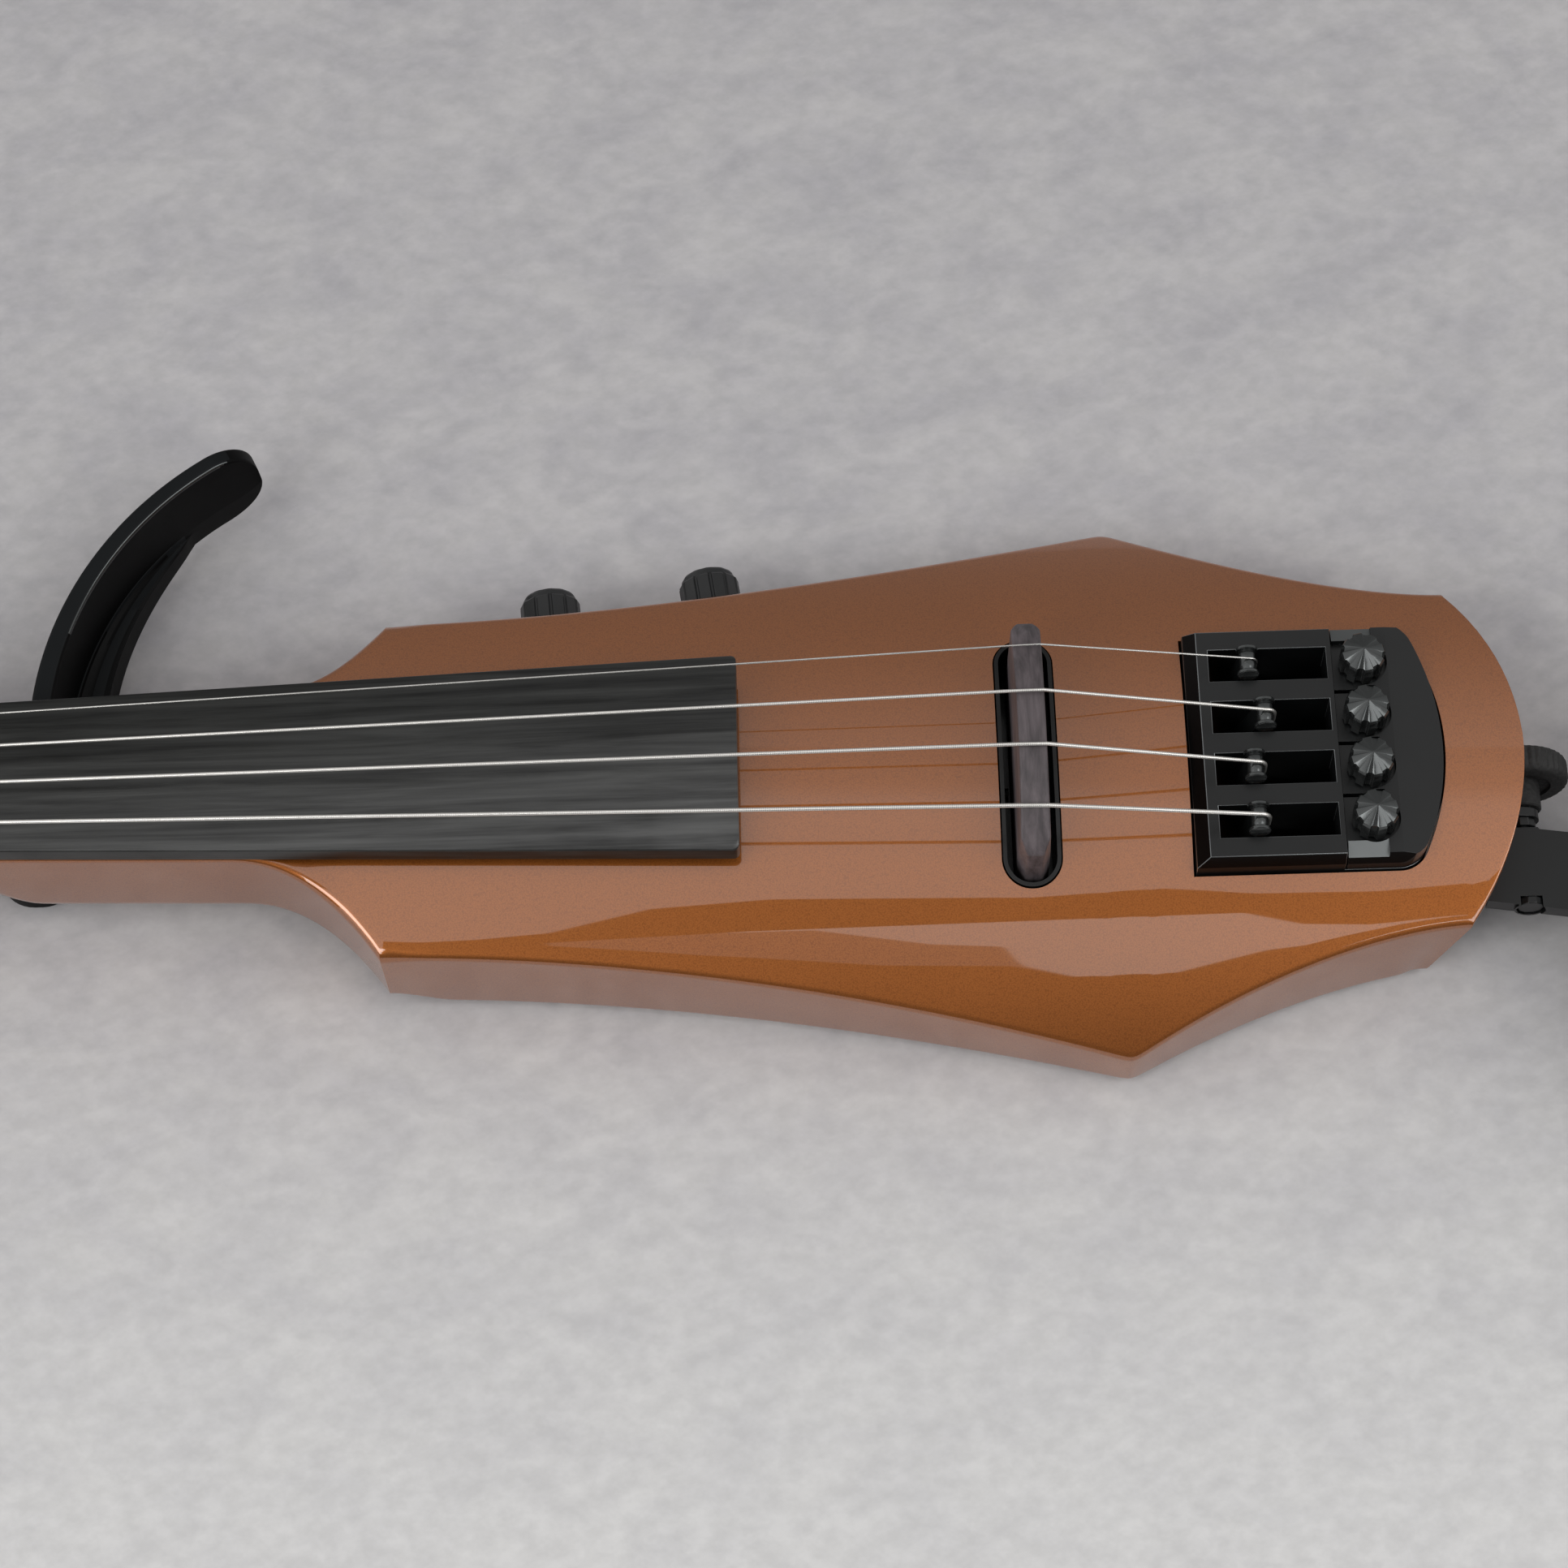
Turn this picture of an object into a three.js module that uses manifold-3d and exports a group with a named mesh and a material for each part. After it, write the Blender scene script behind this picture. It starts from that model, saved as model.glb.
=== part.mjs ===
// Electric violin: a slim solid body carved in one piece with its neck, a floating ebony fingerboard,
// a bridge in a lined well, an in-line tuner block with four bell-crank levers behind the bridge,
// two side knobs, a left-hand position arm and a hinged chin and shoulder rest at the tail.
// Millimetres. X runs from the nut to the tail, Y to the treble side, Z up out of the top.
// X is zero under the string contact on the bridge, Z is zero at the edge of the top.

import * as THREE from "three";
import { mergeVertices } from "three/addons/utils/BufferGeometryUtils.js";
import Module from "manifold-3d";

const wasm = await Module();
wasm.setup();

// Clearances shared by every seat
const seatGap = 0.3;
const runGap = 0.35;
const weld = 0.0002;
const overrun = 3;

// Strings
const stringLength = 328;
const stringNames = ["e", "a", "d", "g"];
const stringPlaceShares = [1.5, 0.5, -0.5, -1.5];
const stringRadii = { e: 0.19, a: 0.33, d: 0.38, g: 0.42 };
const nutSpacing = 5.6;
const bridgeSpacing = 11.45;
const postSpacing = 11.2;
const nutStringZ = 13.4;
const bridgeStringZ = 25.4;
const bridgeCrownRadius = 40;
const boardRadius = 42;

// Body outline and thickness
const shoulderX = -131;
const wingX = 16;
const tailEndX = 95;
const shoulderHalf = 36.5;
const wingHalf = 58;
const tailCornerHalf = 36.2;
const tailRadius = 60;
const sidePower = 1.74;
const tailSidePower = 1.66;
const scoopPower = 2.3;
const cornerSoftness = 0.55;
const topRadius = 100;
const topRise = 6.85;
const backZ = -26;
const shoulderBackZ = -22;
const backFlatX = -118;
const rimRound = 1;
const backRound = 4;
const tailLeanShare = 0.28;
const tailLeanLength = 14;

// Neck, heel and head
const scoopX = -160;
const neckNutHalf = 12.2;
const neckScoopHalf = 17.7;
const glueNutZ = 6.4;
const glueEndZ = 8.3;
const shaftBackZ = -7.6;
const heelBackZ = -20;
const heelX = -201;
const heelRun = 26;
const heelRound = 6;
const headLength = 56;
const headHalf = 14.5;
const headDrop = 5.4;
const headBackZ = -12;

// Fingerboard and nut
const boardEndX = -59.8;
const boardNutHalf = 12;
const boardEndHalf = 21;
const boardSide = 4.1;
const boardBevel = 0.5;
const boardCorner = 1.3;
const nutLength = 5;

// Bridge, its well and the pickup
const wellLength = 53.2;
const wellWidth = 11.4;
const wellCentreX = -2.7;
const wellFloorZ = -13;
const linerWall = 0.8;
const linerLip = 0.25;
const bridgeThick = 6.4;
const bridgeTopThick = 5.4;
const bridgeCentreX = -2.5;
const bridgeCrownHalf = 24.4;
const bridgeFootHalf = 24.9;
const bridgeCorner = 1.8;
const bridgeEndChamfer = 1.6;
const bridgeArch = 5;
const bridgeArchHalf = 12;
const pickupHeight = 2.6;
const pickupHalf = 23;

// Tuner block in the body
const blockFrontX = 29.2;
const blockHalf = 25.1;
const blockRearX = 79;
const blockRearRadius = 52;
const blockCorner = 6;
const pocketGap = 0.5;
const deckZ = 9.9;
const deckThick = 2.6;
const deckBevel = 2.4;
const deckBevelDrop = 3.4;
const blockFloorZ = -16.5;
const blockWall = 2.6;
const seamX = 58.2;
const slotFrontX = 33.8;
const slotRearX = 57.2;
const slotWidth = 6.8;
const channelRearX = 69.2;
const channelFloorZ = 8;
const coverSeatZ = 3.6;
const coverTailZ = 7.2;
const wedgeDrop = 2.6;
const slitWidth = 0.8;
const slitEndX = 66.4;

// Tuner mechanism
const axleX = 41.4;
const axleZ = -8;
const axleRadius = 1.5;
const hubRadius = 4;
const leverThick = 4.6;
const fingerWidth = 2.6;
const postRise = 19.2;
const postRadius = 1.5;
const postHalf = 3;
const postFlangeRadius = 2.1;
const postFlange = 0.8;
const knobX = 64;
const armHeight = 2.6;
const noseRadius = 1.8;
const forkGap = 4.2;
const forkTine = 1.4;
const forkReach = 2.2;
const forkLength = 7;
const leverTiltShares = { e: 0, a: 8 / 180, d: 0, g: 0 };
const screwRadius = 1.5;
const screwCollarRadius = 2.5;
const screwCollar = 1;
const screwEndZ = -13.5;
const travellerRadius = 3;
const travellerHeight = 3.5;
const travellerFlat = 5.2;
const knobRadius = 4.4;
const knobFluteDepth = 0.6;
const knobFlutes = 8;
const knobRibShares = [0, 0.3, 0.42, 0.88];
const knobRise = 0.4;
const knobSide = 5.6;
const knobCone = 1.5;

// Side controls, output and electronics
const potXs = [-97.9, -64.7];
const controlZ = -12;
const controlKnobRadius = 6.2;
const controlKnobRim = 5.6;
const controlKnobRimLength = 1.6;
const controlKnobLength = 7.9;
const controlKnobRibs = 12;
const controlKnobRibDepth = 0.4;
const controlRibShares = [0, 0.62, 0.72, 0.9];
const controlStandOff = 1;
const potBodyRadius = 7.4;
const potBodyLength = 8;
const tagWidth = 1.4;
const tagReach = 3;
const tagThick = 0.6;
const potBushRadius = 3.5;
const potShaftRadius = 2.4;
const cavityFrontX = -108;
const cavityRearX = -22;
const cavityBassY = -14;
const cavityFrontY = 29.6;
const cavityRearY = 41;
const cavityRoofZ = -3.5;
const coverThick = 1.8;
const coverLip = 3.4;
const jackX = -34;
const jackZ = -15.5;
const jackRadius = 5.6;
const jackLength = 24;
const jackBore = 3.25;
const jackSeat = 3.2;
const jackSeatRadius = 8.2;
const jackNutRadius = 7;
const jackNutHeight = 2.2;
const boardThick = 1.6;
const boardLong = 58;
const boardWide = 18;
const boardStand = 2;
const leadRadius = 0.9;

// Neck rod
const rodHalf = 2.4;
const rodTopDepth = 0.4;
const rodDepth = 6;
const rodInset = 10;
const rodFrontX = rodInset - stringLength;
const rodRearX = -140;

// Position arm
const armBaseX = -201.113561;
const armBaseY = 2.736719;
const armRadius = 72;
const armTopThick = 4.4;
const armTipThick = 3.4;
const armDraft = 1;
const armTopZ = 3;
const armTipFootZ = -19;
const armFootZ = -24;
const armCreaseZ = -12;
const armFlangeDrop = 2;
const armEdge = 0.9;
const armBaseAngle = 189;
const armFlangeAngle = 131;
const armRoundAngle = 122.7;
const armTipAngle = 114.5;
const armFlangeWidth = 8;
const padX = -203.5;
const padHalfLength = 8;
const padBassY = -13.5;
const padTrebleY = 20;

// Rest hinge at the tail
const hingeX = 96.1;
const hingeZ = -10;
const wheelRadius = 10;
const wheelTrebleY = 2.6;
const wheelThick = 5.6;
const wheelTeeth = 20;
const wheelToothDepth = 0.35;
const wheelRound = 1.2;
const wheelHubRadius = 4.1;
const wheelHubLength = 5.1;
const wheelDish = 0.8;
const wheelDishRadius = 6.4;
const hingePinRadius = 1.8;
const earThick = 2;
const earRadius = 3.4;
const earTrebleY = -8.4;
const knuckleRadius = 3.3;
const knuckleTrebleY = -12.3;
const knuckleBassY = -29.1;
const barReach = 8.6;
const boltHeadRadius = 2.6;
const boltHead = 1.8;
const bracketX = 80;
const bracketThick = 3;
const bracketTrebleY = -5.6;
const bracketBassY = -29.6;
const bracketTopZ = -4;
const bracketFootZ = -22.6;
const barThick = 3.8;
const barLength = 72;
const barHeading = -0.148;

// Chin rest and shoulder rest
const chinX = 150;
const chinY = -38;
const chinHalfX = 28;
const chinHalfY = 49;
const chinRimZ = 11;
const chinDish = 5;
const chinThick = 4;
const chinPostRadius = 3.4;
const chinPostXs = [134, 151];
const shoulderFrameDrop = 2.4;
const shoulderFrameThick = 2.6;
const shoulderHalfLength = 78;
const shoulderBow = 14;
const shoulderWidth = 24;
const shoulderPadThick = 7.4;
const swivelX = 162.5;
const swivelRadius = 2.2;
const swivelHeadRadius = 5;
const swivelHead = 2.6;

// Small screws
const screwShank = 1.1;
const screwHead = 2.3;
const screwHeadHeight = 1.3;
const screwLength = 7;

// Facet counts
const roundSteps = 16;
const smallSteps = 10;
const wireSides = 6;

// Finishes
function finish(name, color, roughness, metalness) {
  const material = new THREE.MeshStandardMaterial({ color, roughness, metalness });
  material.name = name;
  return material;
}

const finishes = {
  copper: () => finish("copper_lacquer", 0xa97a55, 0.25, 0.35),
  ebony: () => finish("ebony", 0x262b28, 0.5, 0),
  bridgeWood: () => finish("bridge_wood", 0x6e6268, 0.6, 0),
  satinBlack: () => finish("satin_black_metal", 0x22262a, 0.45, 0.6),
  blackPlastic: () => finish("black_plastic", 0x15171a, 0.5, 0),
  steel: () => finish("bright_steel", 0xc9ccd0, 0.25, 1),
  brass: () => finish("brass", 0xb89a55, 0.3, 1),
  rubber: () => finish("knurled_rubber", 0x2a2a2b, 0.85, 0),
  foam: () => finish("foam", 0x1d1e20, 0.95, 0),
  board: () => finish("circuit_board", 0x1f5a3a, 0.6, 0),
  carbon: () => finish("carbon_rod", 0x1b1c1e, 0.5, 0.1),
};

// Solids: closed geometries joined and cut
function bare(geometry) {
  const copy = geometry.index ? geometry.toNonIndexed() : geometry.clone();
  for (const name of Object.keys(copy.attributes)) {
    if (name !== "position") copy.deleteAttribute(name);
  }
  return mergeVertices(copy, weld);
}

function signedVolume(vertices, triangles) {
  const corners = [new THREE.Vector3(), new THREE.Vector3(), new THREE.Vector3()];
  let total = 0;
  for (let t = 0; t < triangles.length; t += 3) {
    corners.forEach((corner, k) => corner.fromArray(vertices, triangles[t + k] * 3));
    total += corners[0].dot(corners[1].clone().cross(corners[2]));
  }
  return total;
}

function solid(geometry) {
  const clean = bare(geometry);
  const vertices = clean.attributes.position.array;
  const triangles = [];
  const index = clean.index.array;
  for (let t = 0; t < index.length; t += 3) {
    const [a, b, c] = [index[t], index[t + 1], index[t + 2]];
    if (a !== b && b !== c && c !== a) triangles.push(a, b, c);
  }
  if (signedVolume(vertices, triangles) < 0) triangles.reverse();
  const mesh = new wasm.Mesh({
    numProp: 3,
    vertProperties: new Float32Array(vertices),
    triVerts: new Uint32Array(triangles),
  });
  return new wasm.Manifold(mesh);
}

function cut(base, ...tools) {
  return tools.reduce((left, tool) => left.subtract(tool), base);
}

function join(...pieces) {
  return pieces.reduce((left, piece) => left.add(piece));
}

function toGeometry(shape) {
  const mesh = shape.getMesh();
  const geometry = new THREE.BufferGeometry();
  geometry.setAttribute("position", new THREE.BufferAttribute(mesh.vertProperties, 3));
  geometry.setIndex(new THREE.BufferAttribute(mesh.triVerts, 1));
  geometry.computeVertexNormals();
  return geometry;
}

const violin = new THREE.Group();

function addPart(name, shape, material) {
  const mesh = new THREE.Mesh(toGeometry(shape), material);
  mesh.name = name;
  violin.add(mesh);
  return mesh;
}

// Shapes drawn in a plane
function polygon(points) {
  return new THREE.Shape(points.map(([x, y]) => new THREE.Vector2(x, y)));
}

function circle(x, y, radius, steps = roundSteps) {
  const points = [];
  for (let i = 0; i < steps; i++) {
    const angle = (i / steps) * 2 * Math.PI;
    points.push([x + radius * Math.cos(angle), y + radius * Math.sin(angle)]);
  }
  return polygon(points);
}

function roundedBox(x0, y0, x1, y1, radius, steps = 4) {
  const points = [];
  const corners = [
    [x1 - radius, y1 - radius, 0],
    [x0 + radius, y1 - radius, 1],
    [x0 + radius, y0 + radius, 2],
    [x1 - radius, y0 + radius, 3],
  ];
  for (const [cx, cy, quarter] of corners) {
    for (let i = 0; i <= steps; i++) {
      const angle = ((quarter + i / steps) * Math.PI) / 2;
      points.push([cx + radius * Math.cos(angle), cy + radius * Math.sin(angle)]);
    }
  }
  return polygon(points);
}

// A shape in the XY plane raised along Z, in XZ along Y, and in YZ along X
function raised(shape, z0, z1) {
  const geometry = new THREE.ExtrudeGeometry(shape, { depth: z1 - z0, bevelEnabled: false });
  return solid(geometry.translate(0, 0, z0));
}

function across(shape, y0, y1) {
  const geometry = new THREE.ExtrudeGeometry(shape, { depth: y1 - y0, bevelEnabled: false });
  return solid(geometry.rotateX(Math.PI / 2).translate(0, y1, 0));
}

function along(shape, x0, x1) {
  const geometry = new THREE.ExtrudeGeometry(shape, { depth: x1 - x0, bevelEnabled: false });
  const turn = new THREE.Matrix4().makeBasis(
    new THREE.Vector3(0, 1, 0),
    new THREE.Vector3(0, 0, 1),
    new THREE.Vector3(1, 0, 0),
  );
  return solid(geometry.applyMatrix4(turn).translate(x0, 0, 0));
}

function rodUp(x, y, radius, z0, z1, steps = smallSteps) {
  return raised(circle(x, y, radius, steps), z0, z1);
}

function rodAcross(x, z, radius, y0, y1, steps = smallSteps) {
  return across(circle(x, z, radius, steps), y0, y1);
}

function rodAlong(y, z, radius, x0, x1, steps = smallSteps) {
  return along(circle(y, z, radius, steps), x0, x1);
}

function block(x0, y0, z0, x1, y1, z1) {
  return raised(roundedBox(x0, y0, x1, y1, 0, 1), z0, z1);
}

// A solid through a row of closed rings with the same number of points
function loft(rings) {
  const count = rings[0].length;
  const positions = [];
  const put = (...points) => points.forEach((p) => positions.push(p.x, p.y, p.z));
  for (let r = 0; r + 1 < rings.length; r++) {
    for (let i = 0; i < count; i++) {
      const next = (i + 1) % count;
      put(rings[r][i], rings[r + 1][i], rings[r + 1][next]);
      put(rings[r][i], rings[r + 1][next], rings[r][next]);
    }
  }
  const cap = (ring, flip) => {
    const centre = ring.reduce((sum, p) => sum.add(p), new THREE.Vector3()).divideScalar(count);
    for (let i = 0; i < count; i++) {
      const next = (i + 1) % count;
      if (flip) put(centre, ring[next], ring[i]);
      else put(centre, ring[i], ring[next]);
    }
  };
  cap(rings[0], false);
  cap(rings[rings.length - 1], true);
  const geometry = new THREE.BufferGeometry();
  geometry.setAttribute("position", new THREE.Float32BufferAttribute(positions, 3));
  return solid(geometry);
}

// A route with straight runs whose corners are its own points
class Route extends THREE.Curve {
  constructor(points) {
    super();
    this.points = points;
  }

  getPoint(t, target = new THREE.Vector3()) {
    const place = Math.min(t, 1) * (this.points.length - 1);
    const first = Math.min(Math.floor(place), this.points.length - 2);
    return target.lerpVectors(this.points[first], this.points[first + 1], place - first);
  }

  getUtoTmapping(u) {
    return u;
  }
}

function wire(points, radius, sides = wireSides) {
  const route = new Route(points.map(([x, y, z]) => new THREE.Vector3(x, y, z)));
  const options = { steps: points.length - 1, extrudePath: route, bevelEnabled: false };
  return solid(new THREE.ExtrudeGeometry(circle(0, 0, radius, sides), options));
}

// Smooth runs between named places
function ease(from, to, x) {
  const share = Math.min(Math.max((x - from) / (to - from), 0), 1);
  return share * share * (3 - 2 * share);
}

function mix(a, b, share) {
  return a + (b - a) * share;
}

function through(keys, x) {
  if (x <= keys[0][0]) return keys[0][1];
  for (let i = 0; i + 1 < keys.length; i++) {
    const [x0, value0] = keys[i];
    const [x1, value1] = keys[i + 1];
    if (x <= x1) return mix(value0, value1, ease(x0, x1, x));
  }
  return keys[keys.length - 1][1];
}

function softLower(a, b, softness) {
  const low = Math.min(a, b);
  const high = Math.max(a, b);
  return low - softness * Math.log(1 + Math.exp((low - high) / softness));
}

// The crowned top
function topZ(y) {
  return topRise - (topRadius - Math.sqrt(topRadius * topRadius - y * y));
}

const nutX = -stringLength;
const headEndX = nutX - headLength;
const tailCornerX = tailEndX - tailRadius + Math.sqrt(tailRadius ** 2 - tailCornerHalf ** 2);

function glueZ(x) {
  return mix(glueNutZ, glueEndZ, (x - nutX) / (boardEndX - nutX));
}

function neckHalf(x) {
  return mix(neckNutHalf, neckScoopHalf, (x - nutX) / (scoopX - nutX));
}

function sideHalf(x) {
  const share = Math.max((x - shoulderX) / (wingX - shoulderX), 0);
  return shoulderHalf + (wingHalf - shoulderHalf) * share ** sidePower;
}

function tailSideHalf(x) {
  const share = Math.max((tailCornerX - x) / (tailCornerX - wingX), 0);
  return tailCornerHalf + (wingHalf - tailCornerHalf) * share ** tailSidePower;
}

function tailArcHalf(x) {
  const reach = x - (tailEndX - tailRadius);
  return Math.sqrt(Math.max(tailRadius ** 2 - reach ** 2, 0));
}

function halfWidth(x) {
  if (x <= nutX) {
    const swell = ease(nutX, nutX - headLength / 3, x);
    const end = Math.max((nutX - x) / headLength - 0.6, 0) / 0.4;
    return mix(neckNutHalf, headHalf, swell) * Math.sqrt(1 - 0.75 * end ** 2.5);
  }
  if (x <= scoopX) return neckHalf(x);
  if (x <= shoulderX) {
    const share = (x - scoopX) / (shoulderX - scoopX);
    return mix(neckHalf(x), shoulderHalf, share ** scoopPower);
  }
  if (x < wingX - headLength / 2) return sideHalf(x);
  if (x < wingX + headLength / 2) return softLower(sideHalf(x), tailSideHalf(x), cornerSoftness);
  return Math.min(tailSideHalf(x), tailArcHalf(x));
}

const backKeys = [
  [headEndX, headBackZ + backRound],
  [headEndX + headLength / 4, headBackZ],
  [nutX - headLength / 5, headBackZ],
  [nutX + headLength / 5, shaftBackZ],
  [heelX - heelRun, shaftBackZ],
  [heelX, heelBackZ],
  [scoopX, heelBackZ],
  [shoulderX, shoulderBackZ],
  [backFlatX, backZ],
];

// One cross-section of the body and neck, from the treble rim over the top and round the back
function bodySection(x) {
  const half = halfWidth(x);
  const onBody = ease(scoopX, shoulderX, x);
  const head = ease(nutX - nutLength, nutX - headLength, x);
  const flatZ = x < nutX ? glueNutZ - headDrop * head - nutLength * ease(nutX, nutX - nutLength * 2, x) / 4
    : glueZ(x);
  const back = through(backKeys, x);
  const rim = Math.min(rimRound, half / 3);
  const height = (y) => mix(flatZ, topZ(y), onBody);
  const heel = ease(heelX - heelRun, heelX, x);
  const roundY = mix(half * 0.9, mix(heelRound, backRound, onBody), heel);
  const deep = height(half) - rim - back;
  const roundZ = Math.min(mix(deep * 0.85, mix(heelRound, backRound, onBody), heel), deep * 0.9);
  const cornerY = Math.min(roundY, half * 0.9);
  const lean = tailLeanShare * ease(tailCornerX - tailLeanLength, tailCornerX, x);
  const outline = [];
  const topSteps = 8;
  for (let i = 0; i <= topSteps; i++) {
    const y = mix(half - rim, rim - half, i / topSteps);
    outline.push([y, height(y)]);
  }
  const side = [];
  const inner = [half - rim, height(half - rim)];
  const sharp = [half, height(half)];
  const lower = [half, height(half) - rim];
  for (const t of [0.5, 1]) {
    const bend = (a, b, c) => (1 - t) ** 2 * a + 2 * t * (1 - t) * b + t * t * c;
    side.push([bend(inner[0], sharp[0], lower[0]), bend(inner[1], sharp[1], lower[1])]);
  }
  const cornerSteps = 4;
  for (let i = 0; i <= cornerSteps; i++) {
    const angle = ((i / cornerSteps) * Math.PI) / 2;
    side.push([
      half - cornerY * (1 - Math.cos(angle)),
      back + roundZ * (1 - Math.sin(angle)),
    ]);
  }
  side.forEach(([y, z]) => outline.push([-y, z]));
  outline.push([0, back]);
  side.reverse().forEach(([y, z]) => outline.push([y, z]));
  return outline.map(([y, z]) => new THREE.Vector3(x - lean * (height(y) - z), y, z));
}

function spread(from, to, count) {
  return Array.from({ length: count }, (_, i) => mix(from, to, i / count));
}

function bodyStations() {
  const tailSteps = 7;
  const last = 0.06;
  const arc = Array.from({ length: tailSteps + 1 }, (_, i) => {
    const half = tailCornerHalf * mix(1, last, Math.sin((i / tailSteps) * Math.PI / 2));
    return tailEndX - tailRadius + Math.sqrt(tailRadius ** 2 - half ** 2);
  });
  return [
    ...spread(headEndX, headEndX + headLength / 5, 3),
    ...spread(headEndX + headLength / 5, nutX, 4),
    ...spread(nutX, heelX - heelRun, 2),
    ...spread(heelX - heelRun, heelX, 6),
    ...spread(heelX, scoopX, 2),
    ...spread(scoopX, shoulderX, 8),
    ...spread(shoulderX, backFlatX, 3),
    ...spread(backFlatX, wingX - cornerSoftness * 6, 9),
    ...spread(wingX - cornerSoftness * 6, wingX + cornerSoftness * 6, 4),
    ...spread(wingX + cornerSoftness * 6, tailCornerX - tailLeanLength, 5),
    ...spread(tailCornerX - tailLeanLength, tailCornerX, 4),
    ...arc,
  ];
}

// Everything under the top, moved up or down by a margin
function underTop(margin, x0, x1) {
  const half = wingHalf;
  const steps = 24;
  const points = [[half, backZ - overrun], [-half, backZ - overrun]];
  for (let i = 0; i <= steps; i++) {
    const y = mix(-half, half, i / steps);
    points.push([y, topZ(y) + margin]);
  }
  return along(polygon(points), x0, x1);
}

// Outline of the tuner block, grown by a margin
function blockOutline(margin) {
  const half = blockHalf + margin;
  const rear = blockRearX + margin;
  const front = blockFrontX - margin;
  const centreX = rear - blockRearRadius;
  const cornerY = half - blockCorner;
  const cornerX = centreX + Math.sqrt((blockRearRadius - blockCorner) ** 2 - cornerY ** 2);
  const points = [[front, -half], [front, half]];
  const turn = Math.atan2(cornerY, cornerX - centreX);
  const cornerSteps = 5;
  for (let i = 0; i <= cornerSteps; i++) {
    const angle = mix(Math.PI / 2, turn, i / cornerSteps);
    points.push([cornerX + blockCorner * Math.cos(angle), cornerY + blockCorner * Math.sin(angle)]);
  }
  const arcSteps = 12;
  for (let i = 1; i < arcSteps; i++) {
    const angle = mix(turn, -turn, i / arcSteps);
    points.push([centreX + blockRearRadius * Math.cos(angle), blockRearRadius * Math.sin(angle)]);
  }
  for (let i = cornerSteps; i >= 0; i--) {
    const angle = mix(Math.PI / 2, turn, i / cornerSteps);
    points.push([cornerX + blockCorner * Math.cos(angle), -cornerY - blockCorner * Math.sin(angle)]);
  }
  return polygon(points);
}

function cavityOutline(margin) {
  return polygon([
    [cavityFrontX - margin, cavityBassY - margin],
    [cavityRearX + margin, cavityBassY - margin],
    [cavityRearX + margin, cavityRearY + margin],
    [cavityFrontX - margin, cavityFrontY + margin],
  ]);
}

function cavityWallY(x) {
  return mix(cavityFrontY, cavityRearY, (x - cavityFrontX) / (cavityRearX - cavityFrontX));
}

function potSeatY(x) {
  return cavityWallY(x) - seatGap * 2;
}

function knobSeatY(x) {
  return sideHalf(x) + controlStandOff;
}

// Each side control stands square to the edge of the body
function squareToEdge(x, piece) {
  const rise = sideHalf(x + controlKnobRadius) - sideHalf(x - controlKnobRadius);
  const lean = (Math.atan2(rise, controlKnobRadius * 2) * 180) / Math.PI;
  return piece.translate([-x, -sideHalf(x), 0]).rotate([0, 0, lean]).translate([x, sideHalf(x), 0]);
}

function wellOutline(margin) {
  const halfX = wellWidth / 2 + margin;
  const halfY = wellLength / 2 + margin;
  return roundedBox(wellCentreX - halfX, -halfY, wellCentreX + halfX, halfY, halfX * 0.98, 6);
}

// Places of the small screws
const coverScrews = [
  [cavityFrontX - coverLip / 2, cavityFrontY - coverLip / 2],
  [cavityRearX + coverLip / 2, cavityBassY - coverLip / 2],
];
const armScrews = [padBassY / 2, padTrebleY / 2].map((y) => [padX, y]);
const bracketScrewYs = [knuckleTrebleY - earThick * 1.5, knuckleBassY + earThick * 2];
const bracketScrewZ = bracketFootZ + screwHead;
const coverRecess = coverThick + seatGap;
const leadZ = wellFloorZ + seatGap + pickupHeight / 2;

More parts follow.
